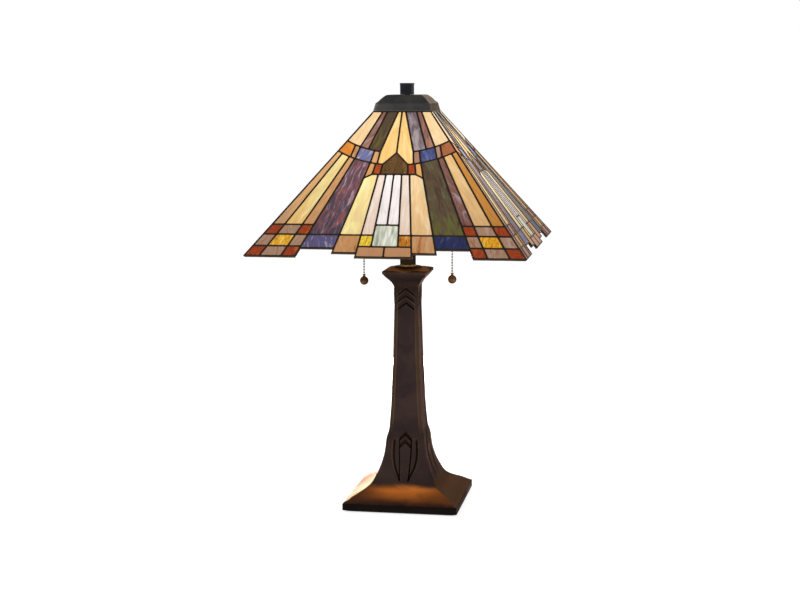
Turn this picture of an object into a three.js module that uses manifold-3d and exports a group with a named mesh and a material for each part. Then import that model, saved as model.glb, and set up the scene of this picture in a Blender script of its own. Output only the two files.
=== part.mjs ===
// Stained glass table lamp: a swept foot and a tapered square column carry two pull-chain sockets
// and a four-sided leaded glass shade, which rests on a rod and is held down by a finial.
// Millimetres, +Z up, the origin on the table under the middle of the foot, the front towards -Y.
import * as THREE from "three";
import { mergeGeometries, mergeVertices } from "three/addons/utils/BufferGeometryUtils.js";
import Module from "manifold-3d";

const wasm = await Module();
wasm.setup();

// ---- Driving dimensions ----
const GAP = 0.3; // left between pieces that touch
const TOP = 635; // overall height

const FELT = { half: 82, top: 1.7 };
const FOOT = { half: 86.6, edgeTop: 13, wall: 4.1 };
const COLUMN = { top: 333 };
const CAPITAL = { half: 34, top: 360 };
const WEIGHT = { half: 66, bottom: 9.8, top: 16.8 };
const INLET = { height: 7.5, bore: 2.6, body: 3.9, flange: 5.2 };

const PIPE = { radius: 5.1, bore: 3.6, bottom: 2.6, top: 398 };
const ROD = { radius: 4.85, bore: 3, bottom: 402, top: 627 };
const PIPE_HOLE = 5.5; // radius of the clearance hole that the pipe or the rod passes

const NECK = { disc: 21, cup: 13.5, sleeve: 12, top: 388 };
const YOKE = { bottom: 388.3, top: 414, depth: 11 };

const SOCKET = { x: 28, z: 404, tilt: THREE.MathUtils.degToRad(20), radius: 17, mouth: 55 };
const BULB = { bottom: 26.4, neck: 51.3, widest: 104, radius: 30, top: 134, wall: 0.9 };
const CHAIN = { x: 67.5, mouth: 400, topBead: 396.8, pitch: 4.2, bead: 1.6, wire: 0.6 };
const CHAIN_BEADS = { right: 11, left: 12 };
const PULL_BALL = { radius: 6.5, neck: 2.2 };

const SLOPE = THREE.MathUtils.degToRad(51.6); // of each shade face, from the horizontal
const APEX = 649.26; // height where the four shade faces would meet
const SHADE = { top: 70.6, hem: 322.3 }; // reach: the distance down a face from the apex
const BAND = { upper: 144, lower: 165.5 }; // radii of the band about the apex, in the face
const ROW = { eaves: 181.7, wing: 188.4, block: 268, corner: 268.5, border: 285 };
const HEM = { block: 303.6, small: 304.2, cornerRow: 304.5, notch: 308.2, step: 315.7 };
const RAY = { outer: 0.885, second: 0.73, third: 0.63, fourth: 0.375, fifth: 0.2, sixth: 0.1 };
const UPPER_RAY = { outer: 0.655, inner: 0.495, point: 0.125 }; // rays as shares of the half width
const GLASS = { face: -0.9, thickness: 2.6, hipInset: 3.9 };
const CAME = { half: 1.3, thickness: 0.6, hipInset: 1.6, bar: 1.7, barInset: 2.2 };
const CAP_PROFILE = [[43.5, 594.3], [43.5, 596], [40.5, 606], [36.6, 609], [31.4, 614.1], [25.5, 617.9]];
const CAP_WALL = 1.3;
const FINIAL = { half: 9.2, lip: 9.5, bottom: 618.3, lipBottom: 632.6, bore: 5.6, boreTop: 629 };

// ---- Materials ----
const finish = (color, roughness, metalness) =>
  new THREE.MeshStandardMaterial({ color, roughness, metalness, flatShading: true });
const bronze = finish(0x3a2a24, 0.45, 0.7);
const blackMetal = finish(0x23272c, 0.5, 0.7);
const brass = finish(0xa8803c, 0.35, 0.9);
const steel = finish(0x8c9096, 0.4, 0.9);
const iron = finish(0x34302e, 0.8, 0.4);
const felt = finish(0x1f2a22, 1, 0);
const phenolic = finish(0x1c1815, 0.6, 0);
const fibre = finish(0xb39a72, 0.9, 0);
const bulbGlass = finish(0xf4efe2, 0.2, 0);
const leadCame = finish(0x241c18, 0.55, 0.6);
const artGlass = {
  upper: finish(0xd8bd86, 0.25, 0),
  band: finish(0xb07a4a, 0.25, 0),
  main: finish(0xd9c9a0, 0.25, 0),
  border: finish(0x9a4a32, 0.25, 0),
};

// ---- Solids ----
function solid(geometry) {
  const bare = geometry.clone();
  bare.deleteAttribute("normal");
  bare.deleteAttribute("uv");
  const merged = mergeVertices(bare, 1e-4);
  return new wasm.Manifold(
    new wasm.Mesh({
      numProp: 3,
      vertProperties: merged.attributes.position.array,
      triVerts: new Uint32Array(merged.index.array),
    }),
  );
}

function geometryOf(body) {
  const { vertProperties, triVerts } = body.getMesh();
  return new THREE.BufferGeometry()
    .setAttribute("position", new THREE.BufferAttribute(vertProperties, 3))
    .setIndex(new THREE.BufferAttribute(triVerts, 1));
}

const cut = (body, ...tools) =>
  geometryOf(tools.reduce((left, tool) => left.subtract(solid(tool)), solid(body)));
const join = (geometries) =>
  geometryOf(geometries.map(solid).reduce((whole, next) => whole.add(next)));

// A solid of square sections with chamfered corners, from [half width, height] upwards.
function squareStack(profile, chamfer = 1) {
  const points = profile.flatMap(([half, z]) => {
    const a = half - chamfer;
    const ring = [[half, -a], [half, a], [a, half], [-a, half]];
    return [...ring, ...ring.map(([x, y]) => [-x, -y])].map(([x, y]) => [x, y, z]);
  });
  const sides = 8;
  const last = sides * (profile.length - 1);
  const faces = [];
  for (let base = 0; base < last; base += sides)
    for (let k = 0; k < sides; k++) {
      const here = base + k;
      const next = base + ((k + 1) % sides);
      faces.push(here, next, next + sides, here, next + sides, here + sides);
    }
  for (let k = 1; k < sides - 1; k++) faces.push(0, k + 1, k, last, last + k, last + k + 1);
  return new THREE.BufferGeometry()
    .setAttribute("position", new THREE.Float32BufferAttribute(points.flat(), 3))
    .setIndex(faces);
}

// A turned solid about Z, from [radius, height] points with the material on the left.
const turned = (profile, segments = 16) =>
  new THREE.LatheGeometry(profile.map(([r, z]) => new THREE.Vector2(r, z)), segments)
    .rotateX(Math.PI / 2);

const tube = (outer, inner, bottom, top, segments) =>
  turned([[outer, bottom], [outer, top], [inner, top], [inner, bottom], [outer, bottom]], segments);

const roundBar = (radius, bottom, top, segments = 16) =>
  new THREE.CylinderGeometry(radius, radius, top - bottom, segments)
    .rotateX(Math.PI / 2)
    .translate(0, 0, (bottom + top) / 2);

const circlePath = (radius, sides) =>
  new THREE.Path(
    Array.from({ length: sides }, (_, k) => {
      const angle = (2 * Math.PI * k) / sides;
      return new THREE.Vector2(radius * Math.cos(angle), radius * Math.sin(angle));
    }),
  );

function hexNut(acrossFlats, bore, bottom, top) {
  const shape = new THREE.Shape(circlePath(acrossFlats / Math.sqrt(3), 6).getPoints());
  shape.holes.push(circlePath(bore, 12));
  return new THREE.ExtrudeGeometry(shape, { depth: top - bottom, bevelEnabled: false })
    .translate(0, 0, bottom);
}

function add(parent, name, geometry, material) {
  const mesh = new THREE.Mesh(geometry, material);
  mesh.name = name;
  parent.add(mesh);
  return mesh;
}

// ---- Column and capital, clamped on the lamp pipe ----
function addStand(lamp) {
  const bottom = FELT.top + GAP;
  const outside = [
    [FOOT.half - 0.8, bottom], [FOOT.half, bottom + 0.8], [FOOT.half, 12],
    [FOOT.half - 1.2, FOOT.edgeTop], [72, 21.8], [57, 29], [49, 36.5], [45.2, 43], [40.9, 52],
    [35.7, 66], [32.1, 79], [30, 93], [28.7, 102], [26.3, 111], [25.1, 121], [23.8, 139], [21.9, 175],
    [20.6, 200], [19.7, 235], [19, 265], [18.2, 296], [18.5, 310], [19, 325], [19.2, COLUMN.top],
  ];
  const inside = [
    [FOOT.half - FOOT.wall, bottom - 1], [FOOT.half - FOOT.wall, 9], [69, 17.5], [54, 25],
    [42, 35], [36, 52], [29.5, 68], [26, 82], [23.5, 108], [19.6, 129], [17.5, 165], [15.6, 235],
    [13.5, COLUMN.top + 1],
  ];
  const inletHole = roundBar(INLET.body + GAP, FOOT.half - 10, FOOT.half + 5)
    .rotateX(-Math.PI / 2)
    .translate(0, 0, INLET.height);
  const column = cut(squareStack(outside), squareStack(inside), inletHole);
  add(lamp, "column_casting", column, bronze);

  const capitalOutside = [
    [19.1, COLUMN.top + GAP], [20.6, 337], [22.9, 341], [28, 346], [32.4, 352], [CAPITAL.half, 353],
    [CAPITAL.half, 356.5], [21.5, CAPITAL.top],
  ];
  add(
    lamp,
    "capital_casting",
    cut(squareStack(capitalOutside), roundBar(PIPE_HOLE, COLUMN.top - 5, CAPITAL.top + 5)),
    bronze,
  );

  add(lamp, "felt_pad", squareStack([[FELT.half, 0], [FELT.half, FELT.top]]), felt);
  add(
    lamp,
    "base_weight",
    cut(
      squareStack([[WEIGHT.half, WEIGHT.bottom], [WEIGHT.half, WEIGHT.top]], 6),
      roundBar(PIPE_HOLE, 0, WEIGHT.top + 5),
    ),
    iron,
  );
  add(lamp, "bottom_washer", tube(13, PIPE_HOLE, 8, WEIGHT.bottom - GAP, 12), steel);
  add(lamp, "bottom_nut", hexNut(16, PIPE_HOLE, 3.2, 8 - GAP), steel);
  add(lamp, "lamp_pipe", tube(PIPE.radius, PIPE.bore, PIPE.bottom, PIPE.top, 12), steel);

  const { bore, body, flange, height } = INLET;
  const inletProfile = [
    [bore, -6], [body, -6], [body, GAP], [flange, GAP], [flange, 1.8], [bore, 1.8], [bore, -6],
  ];
  const bushing = add(lamp, "cord_bushing", turned(inletProfile, 12), phenolic);
  bushing.rotation.x = -Math.PI / 2;
  bushing.position.set(0, FOOT.half, height);
}

// ---- Neck and the yoke that carries the sockets ----
function addNeck(lamp) {
  const disc = [CAPITAL.top + GAP, 361.5];
  const cup = [disc[1] + GAP, 364.2];
  add(lamp, "seat_disc", tube(NECK.disc, PIPE_HOLE, ...disc, 24), blackMetal);
  const cupProfile = [
    [PIPE_HOLE, cup[0]], [NECK.cup, cup[0]], [NECK.cup, cup[0] + 1.2], [NECK.sleeve, cup[1]],
    [PIPE_HOLE, cup[1]], [PIPE_HOLE, cup[0]],
  ];
  add(lamp, "neck_cup", turned(cupProfile, 20), brass);
  add(lamp, "neck_sleeve", tube(NECK.sleeve, NECK.sleeve - 1.4, cup[1] + GAP, NECK.top, 20), blackMetal);

  // The yoke's shoulders stand square to the two socket axes.
  const right = [[13, YOKE.bottom], [31, 390], [34.1, 397.5], [19.1, 402.9], [10, YOKE.top]];
  const left = right.map(([x, z]) => [-x, z]).reverse();
  const outline = new THREE.Shape([...right, ...left].map(([x, z]) => new THREE.Vector2(x, z)));
  const body = new THREE.ExtrudeGeometry(outline, { depth: 2 * YOKE.depth, bevelEnabled: false })
    .rotateX(Math.PI / 2)
    .translate(0, YOKE.depth, 0);
  add(lamp, "socket_yoke", cut(body, roundBar(PIPE_HOLE, YOKE.bottom - 5, YOKE.top + 5)), brass);

  add(lamp, "shade_rod", tube(ROD.radius, ROD.bore, ROD.bottom, ROD.top, 12), brass);
  add(lamp, "rod_nut", hexNut(16, PIPE_HOLE, 609.8, 614.6), brass);
  add(lamp, "seat_washer", tube(14, PIPE_HOLE, 614.9, 616.3, 16), brass);
}

// ---- One socket with its bulb and pull chain, standing towards +X ----
function addSocket(lamp, side) {
  const arm = new THREE.Group();
  arm.rotation.z = side === "left" ? Math.PI : 0;
  lamp.add(arm);
  const socket = new THREE.Group();
  socket.position.set(SOCKET.x, 0, SOCKET.z);
  socket.rotation.y = SOCKET.tilt;
  arm.add(socket);

  const { radius, mouth } = SOCKET;
  add(socket, "socket_nipple_" + side, tube(4.9, 3.2, -3.7, 2.6, 12), brass);
  const capProfile = [
    [5.3, 0], [9, 0], [14, 2.5], [17.3, 8], [17.6, 13], [16.6, 13], [16.3, 8.6], [13.2, 3.9],
    [8.8, 1.5], [5.3, 1.5], [5.3, 0],
  ];
  add(socket, "socket_cap_" + side, turned(capProfile), brass);
  const shellProfile = [
    [radius - 0.7, 13.3], [radius, 13.3], [radius, mouth - 2.5], [radius + 0.7, mouth - 1.5],
    [radius + 0.7, mouth], [radius - 0.7, mouth], [radius - 0.7, 13.3],
  ];
  add(socket, "socket_shell_" + side, turned(shellProfile), brass);
  add(socket, "socket_liner_" + side, tube(15.9, 15.1, 13.3, mouth + 1.4, 14), fibre);
  const switchProfile = [[0, 4.2], [12, 4.2], [14.4, 8.4], [14.4, 25.5], [0, 25.5]];
  add(socket, "switch_body_" + side, turned(switchProfile, 14), phenolic);
  add(socket, "screw_shell_" + side, tube(14.4, 13.9, 25.8, 50, 14), brass);

  const baseProfile = [
    [0, BULB.bottom], [4, BULB.bottom], [5, 28], [11, 30], [13.2, 32], [13.2, 50], [12, 51], [0, 51],
  ];
  add(socket, "bulb_base_" + side, turned(baseProfile, 14), steel);
  const envelope = [
    [11.5, BULB.neck], [12.5, 60], [17, 73], [25.5, 88], [BULB.radius, BULB.widest], [28, 117],
    [21, 127], [11, 132.6],
  ];
  const bulbProfile = [
    [0, BULB.top - BULB.wall],
    ...envelope.map(([r, z]) => [r - BULB.wall, z]).reverse(),
    ...envelope,
    [0, BULB.top],
  ];
  add(socket, "bulb_glass_" + side, turned(bulbProfile), bulbGlass);

  // The chain's nozzle leaves the shell square to the socket and bends down to its mouth.
  socket.updateMatrix();
  const start = new THREE.Vector3(radius + 0.5, 0, 17).applyMatrix4(socket.matrix);
  const outward = new THREE.Vector3(Math.cos(SOCKET.tilt), 0, -Math.sin(SOCKET.tilt));
  const bend = new THREE.CubicBezierCurve3(
    start,
    start.clone().addScaledVector(outward, 11),
    new THREE.Vector3(CHAIN.x, 0, CHAIN.mouth + 11),
    new THREE.Vector3(CHAIN.x, 0, CHAIN.mouth),
  );
  const ring = new THREE.Shape(circlePath(4, 8).getPoints());
  ring.holes.push(circlePath(2.9, 8));
  const nozzle = new THREE.ExtrudeGeometry(ring, { steps: 6, extrudePath: bend });
  add(arm, "chain_nozzle_" + side, nozzle, brass);

  const { x, topBead, pitch, bead, wire } = CHAIN;
  const linkProfile = [[0, 399], [0.9, 399], [0.9, 401], [bead, 402], [bead, 403.4], [0, 404.4]];
  add(arm, "pull_link_" + side, turned(linkProfile, 8).translate(x, 0, 0), brass);
  const beads = Array.from({ length: CHAIN_BEADS[side] }, (_, k) => topBead - k * pitch).reverse();
  const chainProfile = beads.flatMap((z) => [
    [wire, z - 1.4], [bead, z - 0.7], [bead, z + 0.7], [wire, z + 1.4],
  ]);
  const chainBottom = beads[0] - pitch / 2;
  const strand = [[0, chainBottom], [wire, chainBottom], ...chainProfile, [0, topBead + 1.4]];
  add(arm, "bead_chain_" + side, turned(strand, 6).translate(x, 0, 0), steel);

  const neckTop = chainBottom - GAP;
  const centre = neckTop - 10;
  const quarter = Array.from({ length: 7 }, (_, k) => -Math.PI / 2 + (k * Math.PI) / 8);
  const ballProfile = [
    ...quarter.map((a) => [
      Math.max(0, PULL_BALL.radius * Math.cos(a)), centre + PULL_BALL.radius * Math.sin(a),
    ]),
    [PULL_BALL.neck, centre + 6.4], [PULL_BALL.neck, neckTop], [0, neckTop],
  ];
  add(arm, "pull_ball_" + side, turned(ballProfile, 12).translate(x, 0, 0), bronze);
}

// ---- Shade ----
const halfWidth = (reach) => reach * Math.cos(SLOPE);
const at = (share, reach) => [share * halfWidth(reach), -reach];
const onBand = (share, radius) => at(share, radius / Math.hypot(1, share * Math.cos(SLOPE)));
const hipAt = (reach, inset) => [halfWidth(reach) - inset, -reach];
const hipOnBand = (radius, inset) => hipAt(radius / Math.hypot(1, Math.cos(SLOPE)), inset);

// The panes of one face from its middle to its right hip, as outlines in the face.
function rightPanes() {
  const inset = CAME.hipInset;
  const { upper, lower } = BAND;
  const { outer, second, third, fourth, fifth, sixth } = RAY;
  const tip = { upper: onBand(0.273, upper), lower: onBand(0.261, lower) };
  const top = SHADE.top;
  const upperRow = [
    [hipAt(top, inset), at(UPPER_RAY.outer, top), onBand(UPPER_RAY.outer, upper),
      onBand(0.765, upper), hipOnBand(upper, inset)],
    [at(UPPER_RAY.outer, top), at(UPPER_RAY.inner, top), onBand(UPPER_RAY.inner, upper),
      onBand(UPPER_RAY.outer, upper)],
    [at(UPPER_RAY.inner, top), at(UPPER_RAY.point, top), tip.upper, onBand(fourth, upper),
      onBand(UPPER_RAY.inner, upper)],
    [at(UPPER_RAY.point, top), at(0, top), at(0, upper), onBand(0.18, lower), tip.lower, tip.upper],
  ];
  const bandRow = [
    [hipOnBand(upper, inset), onBand(0.765, upper), onBand(0.712, lower), hipOnBand(lower, inset)],
    [onBand(0.765, upper), onBand(UPPER_RAY.outer, upper), onBand(0.622, lower),
      onBand(0.712, lower)],
    [onBand(UPPER_RAY.outer, upper), onBand(UPPER_RAY.inner, upper), onBand(fourth, upper),
      onBand(0.367, lower), onBand(0.5, lower), onBand(0.622, lower)],
    [onBand(fourth, upper), tip.upper, tip.lower, onBand(0.367, lower)],
  ];
  const eavesRow = [
    [onBand(0.367, lower), onBand(0.28, lower), at(0.28, ROW.eaves), at(fourth, ROW.wing)],
    [onBand(0.28, lower), onBand(0.18, lower), at(0.18, ROW.eaves), at(0.28, ROW.eaves)],
  ];
  const strip = (a, b, reach) => [onBand(a, lower), onBand(b, lower), at(b, reach), at(a, reach)];
  const mainRow = [
    [hipOnBand(lower, inset), onBand(outer, lower), at(outer, ROW.corner),
      hipAt(ROW.corner, inset)],
    strip(outer, second, ROW.corner),
    strip(second, third, ROW.corner),
    [onBand(third, lower), onBand(0.5, lower), onBand(0.367, lower), at(fourth, ROW.border),
      at(third, ROW.border)],
    [at(fourth, ROW.wing), at(0.28, ROW.eaves), at(fifth, ROW.eaves), at(fifth, ROW.border),
      at(fourth, ROW.border)],
    [at(fifth, ROW.eaves), at(sixth, ROW.eaves), at(sixth, ROW.border), at(fifth, ROW.border)],
    [at(sixth, ROW.eaves), at(0, ROW.eaves), at(0, ROW.block), at(sixth, ROW.block)],
  ];
  const tile = (a, b, high, low) => [at(a, high), at(b, high), at(b, low), at(a, low)];
  const borderRow = [
    tile(third, fourth, ROW.border, HEM.notch),
    tile(fourth, fifth, ROW.border, HEM.step),
    tile(fifth, sixth, ROW.border, HEM.small),
    tile(fifth, 0, HEM.small, SHADE.hem),
  ];
  const cornerRows = [ROW.corner, ROW.border, HEM.cornerRow, SHADE.hem];
  const cornerTiles = cornerRows.slice(1).flatMap((low, k) => {
    const high = cornerRows[k];
    return [
      [hipAt(high, inset), at(outer, high), at(outer, low), hipAt(low, inset)],
      tile(outer, second, high, low),
      tile(second, third, high, low),
    ];
  });
  return [...upperRow, ...bandRow, ...eavesRow, ...mainRow, ...borderRow, ...cornerTiles];
}

const mirrored = (outline) => outline.map(([x, y]) => [-x, y]).reverse();

// An outline from its points on the right, with repeated points on the middle line dropped.
function symmetric(right) {
  const whole = [...right, ...mirrored(right)];
  const same = (p, q) => p[0] === q[0] && p[1] === q[1];
  return whole.filter((p, k) => !same(p, whole[(k + 1) % whole.length]));
}

function middlePanes() {
  const { sixth } = RAY;
  const house = [at(0, BAND.upper), onBand(0.18, BAND.lower), at(0.18, ROW.eaves)];
  return [symmetric(house), symmetric([at(sixth, ROW.block), at(sixth, HEM.block)])];
}

// The outline of a face's hem from its middle to the right hip, stepping up between the corners.
function rightHem(inset) {
  const { third, fourth, fifth } = RAY;
  const { notch, step } = HEM;
  return [
    at(fifth, SHADE.hem), at(fifth, step), at(fourth, step), at(fourth, notch), at(third, notch),
    at(third, SHADE.hem), hipAt(SHADE.hem, inset),
  ];
}

// Moves each edge of an outline to its left by a distance, which shrinks a counter-clockwise one.
function inset(outline, distance) {
  const vectors = outline.map(([x, y]) => new THREE.Vector2(x, y));
  const count = vectors.length;
  return vectors.map((point, k) => {
    const before = point.clone().sub(vectors[(k + count - 1) % count]).normalize();
    const after = vectors[(k + 1) % count].clone().sub(point).normalize();
    const left = new THREE.Vector2(-before.y, before.x);
    const right = new THREE.Vector2(-after.y, after.x);
    const share = distance / (1 + left.dot(right));
    return point.clone().add(left.add(right).multiplyScalar(share)).toArray();
  });
}

const counterClockwise = (outline) => {
  const points = outline.map(([x, y]) => new THREE.Vector2(x, y));
  return THREE.ShapeUtils.isClockWise(points) ? [...outline].reverse() : outline;
};

// An outline as a flat plate between two heights, and such a plate laid in the front face.
function flatPlate(outline, low, high) {
  const shape = new THREE.Shape(counterClockwise(outline).map(([x, y]) => new THREE.Vector2(x, y)));
  return new THREE.ExtrudeGeometry(shape, { depth: high - low, bevelEnabled: false })
    .translate(0, 0, low);
}
const laidInFace = (plate) => plate.rotateX(SLOPE).translate(0, 0, APEX);

const turnedTo = (face, geometry) => geometry.clone().rotateZ((face * Math.PI) / 2);

// The came of one face: its outline with a window cut for each pane.
function cameNet() {
  const edge = CAME.hipInset;
  const outline = symmetric([hipAt(SHADE.top, edge), ...rightHem(edge).reverse()]);
  const half = rightPanes();
  const windows = [...half, ...half.map(mirrored), ...middlePanes()].map((pane) =>
    flatPlate(inset(counterClockwise(pane), CAME.half), -CAME.thickness - 1, 1),
  );
  return laidInFace(cut(flatPlate(outline, -CAME.thickness, 0), mergeGeometries(windows)));
}

// The round bar of came along the hip to the right of the front face.
function hipBar() {
  const place = (half) => {
    const depth = CAME.barInset;
    const z = APEX - half * Math.tan(SLOPE);
    return new THREE.Vector3(half - depth, -(half - depth), z);
  };
  const top = place(halfWidth(SHADE.top + 2));
  const bottom = place(halfWidth(SHADE.hem - 2));
  const along = bottom.clone().sub(top);
  const bar = new THREE.CylinderGeometry(CAME.bar, CAME.bar, along.length(), 8);
  const turn = new THREE.Quaternion().setFromUnitVectors(
    new THREE.Vector3(0, 1, 0),
    along.clone().normalize(),
  );
  return bar.applyQuaternion(turn).translate(...top.add(bottom).multiplyScalar(0.5));
}

// The four zones of glass in a face, each a plate that runs on under the came.
function glassZones() {
  const seam = GAP / 2;
  const edge = GLASS.hipInset;
  const shares = [0, 0.2, 0.36, 0.5, 0.655, 0.765];
  const arc = (radius) => [
    ...shares.map((share) => onBand(share, radius)),
    hipOnBand(radius, edge),
  ];
  const level = (reach) => [at(0, reach), hipAt(reach, edge)];
  const zone = (high, low) => symmetric([...high, ...low.reverse()]);
  return {
    upper: zone(level(SHADE.top + seam), arc(BAND.upper - seam)),
    band: zone(arc(BAND.upper + seam), arc(BAND.lower - seam)),
    main: zone(arc(BAND.lower + seam), level(ROW.border - seam)),
    border: zone(level(ROW.border + seam), rightHem(edge)),
  };
}

function addShade(lamp) {
  const faces = ["front", "right", "back", "left"];
  const net = cameNet();
  const bar = hipBar();
  const came = faces.flatMap((_, face) => [turnedTo(face, net), turnedTo(face, bar)]);
  add(lamp, "came_frame", join(came), leadCame);
  const zones = glassZones();
  faces.forEach((side, face) => {
    for (const [zone, outline] of Object.entries(zones)) {
      const plate = laidInFace(flatPlate(outline, GLASS.face - GLASS.thickness, GLASS.face));
      add(lamp, `glass_${zone}_${side}`, turnedTo(face, plate), artGlass[zone]);
    }
  });

  const inside = CAP_PROFILE.map(([half, z], k) => [half - CAP_WALL, z - (k ? CAP_WALL : 1)]);
  const hole = roundBar(PIPE_HOLE + 0.3, 600, TOP);
  add(lamp, "shade_cap", cut(squareStack(CAP_PROFILE), squareStack(inside), hole), blackMetal);

  const { half, lip, bottom, lipBottom, bore, boreTop } = FINIAL;
  const finialProfile = [
    [half, bottom], [half, lipBottom], [lip, lipBottom + 0.5], [lip, TOP - 0.4], [half, TOP],
  ];
  const finial = cut(squareStack(finialProfile, 0.6), roundBar(bore, bottom - 5, boreTop));
  add(lamp, "finial", finial, blackMetal);
}

const lamp = new THREE.Group();
addStand(lamp);
addNeck(lamp);
addSocket(lamp, "right");
addSocket(lamp, "left");
addShade(lamp);

export default lamp;
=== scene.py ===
# %% [markdown]
# # A stained glass table lamp
# A square bronze column carries two bulbs and a four-sided leaded shade. The working parts come from a
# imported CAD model; this lesson builds the surfaces around it: the panes and their came, the cast column
# with its relief, the spun fittings, the bead chains, and a procedural finish for each of them.

# %% Load the frame
import math
import random

import bmesh
import bpy
from mathutils import Matrix, Vector, noise


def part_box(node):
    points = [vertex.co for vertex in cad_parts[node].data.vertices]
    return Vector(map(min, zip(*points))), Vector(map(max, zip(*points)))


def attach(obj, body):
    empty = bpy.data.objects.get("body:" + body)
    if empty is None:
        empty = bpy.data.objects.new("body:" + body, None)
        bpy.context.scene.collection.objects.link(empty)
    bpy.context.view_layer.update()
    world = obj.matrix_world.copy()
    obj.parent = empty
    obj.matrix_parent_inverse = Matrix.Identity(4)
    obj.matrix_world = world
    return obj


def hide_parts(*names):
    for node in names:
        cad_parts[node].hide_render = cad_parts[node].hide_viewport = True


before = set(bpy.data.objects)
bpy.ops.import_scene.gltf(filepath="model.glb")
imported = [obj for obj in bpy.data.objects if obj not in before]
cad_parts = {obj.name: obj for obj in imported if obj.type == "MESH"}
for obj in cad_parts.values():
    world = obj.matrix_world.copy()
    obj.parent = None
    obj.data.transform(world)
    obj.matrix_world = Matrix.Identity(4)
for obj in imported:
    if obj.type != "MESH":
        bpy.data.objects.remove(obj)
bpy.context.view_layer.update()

MM = 0.001
CAP_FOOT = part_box("shade_cap")[0][2]
COLUMN_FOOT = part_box("column_casting")[0][2]


# %% [markdown]
# ## Stage
# The lamp stands on a seamless pale sweep, so the floor and the world are nearly the same white. Three
# large soft lights stand in for a bright room: the left one is the key, and those on the right and behind
# only open the shadows. A hidden card low at the back shows as a pale sheen on surfaces seen edge on. A
# long lens from a little above the middle keeps the column upright.

# %% Helpers for objects and materials
def place_in_scene(name, data):
    thing = bpy.data.objects.new(name, data)
    bpy.context.scene.collection.objects.link(thing)
    return thing


def fill(node, sockets):
    """Sets inputs of a node, or links them where the value is the output of another node."""
    for key, value in sockets.items():
        if isinstance(value, bpy.types.NodeSocket):
            node.id_data.links.new(value, node.inputs[key])
        else:
            node.inputs[key].default_value = value
    return node


def new_material(name):
    material = bpy.data.materials.new(name)
    material.use_nodes = True
    return material, material.node_tree, material.node_tree.nodes["Principled BSDF"]


# %% Camera
CAMERA_AZIMUTH = math.radians(9.976)
CAMERA_DISTANCE = 2.3463
CAMERA_HEIGHT = 0.6426
CAMERA_PITCH = math.radians(-8.076)
CAMERA_ROLL = math.radians(-0.271)
CAMERA_LENS = 70.47
CAMERA_SHIFT = -0.0101


def make_camera():
    camera = place_in_scene("camera", bpy.data.cameras.new("camera"))
    camera.data.lens = CAMERA_LENS
    camera.data.shift_x = CAMERA_SHIFT
    camera.location = (
        CAMERA_DISTANCE * math.sin(CAMERA_AZIMUTH),
        -CAMERA_DISTANCE * math.cos(CAMERA_AZIMUTH),
        CAMERA_HEIGHT,
    )
    turn = Matrix.Rotation(CAMERA_AZIMUTH, 4, "Z")
    tilt = Matrix.Rotation(math.pi / 2 + CAMERA_PITCH, 4, "X")
    roll = Matrix.Rotation(CAMERA_ROLL, 4, "Z")
    camera.rotation_euler = (turn @ tilt @ roll).to_euler()
    bpy.context.scene.camera = camera


make_camera()
print("camera stands at", tuple(round(c, 3) for c in bpy.context.scene.camera.location))


# %% Floor, world and lights
FLOOR_HALF = 12.0
FLOOR_GLOW, ROOM_LIGHT = 0.66, 0.5


def make_light(name, place, size, power, aim=(0, 0, 0.35)):
    light = place_in_scene(name, bpy.data.lights.new(name, "AREA"))
    light.data.shape = "DISK"
    light.data.size = size
    light.data.energy = power
    light.location = place
    light.rotation_euler = (Vector(aim) - Vector(place)).to_track_quat("-Z", "Y").to_euler()
    return light


def make_floor():
    sweep = bpy.data.meshes.new("floor")
    corners = [(-1, -1), (1, -1), (1, 1), (-1, 1)]
    sweep.from_pydata([(x * FLOOR_HALF, y * FLOOR_HALF, 0) for x, y in corners], [], [(0, 1, 2, 3)])
    floor = place_in_scene("floor", sweep)
    paper, _, shader = new_material("paper sweep")
    fill(shader, {"Base Color": (0.9, 0.9, 0.9, 1), "Roughness": 0.95, "Specular IOR Level": 0.1,
                  "Emission Color": (1, 1, 1, 1), "Emission Strength": FLOOR_GLOW})
    sweep.materials.append(paper)


def make_world():
    """White to the camera, and dimmer as a light, so that the panes keep their colours."""
    world = bpy.data.worlds.new("studio")
    world.use_nodes = True
    tree = world.node_tree
    seen = fill(tree.nodes["Background"], {"Color": (1, 1, 1, 1)})
    room = fill(tree.nodes.new("ShaderNodeBackground"), {"Strength": ROOM_LIGHT})
    in_view = tree.nodes.new("ShaderNodeLightPath").outputs["Is Camera Ray"]
    both = fill(tree.nodes.new("ShaderNodeMixShader"), {0: in_view, 1: room.outputs[0], 2: seen.outputs[0]})
    fill(tree.nodes["World Output"], {"Surface": both.outputs[0]})
    bpy.context.scene.world = world


def make_reflector():
    """A bright card behind on the left, low down, that only shows as a sheen on surfaces seen edge on."""
    card = make_light("sheen_card", (-0.42, 1.15, 0.03), 0.55, 22, aim=(0, 0, 0.03))
    card.visible_camera = False


make_floor()
make_world()
make_reflector()
make_light("key_window", (-1.6, -1.9, 1.7), 1.3, 15)
make_light("fill_card", (1.9, -1.2, 1.0), 1.6, 6)
make_light("back_card", (0.4, 2.2, 1.6), 1.6, 8)
bpy.context.scene.view_settings.view_transform = "Standard"
print("lights:", sorted(light.name for light in bpy.data.lights))


# %% [markdown]
# ## Node groups
# Streaks, hammered texture, patina and lamp glow are each wanted by several finishes. Painting them into
# every material would repeat the same dozen nodes, so each effect is a group with named sockets that only
# puts out colours, masks and heights. The shader itself stays in each material.

# %% Helpers for node trees
COLOUR, NUMBER, VECTOR = "NodeSocketColor", "NodeSocketFloat", "NodeSocketVector"


def put(tree, kind, sockets=None, **settings):
    node = tree.nodes.new("ShaderNode" + kind)
    for key, value in settings.items():
        setattr(node, key, value)
    return fill(node, sockets or {})


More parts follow.
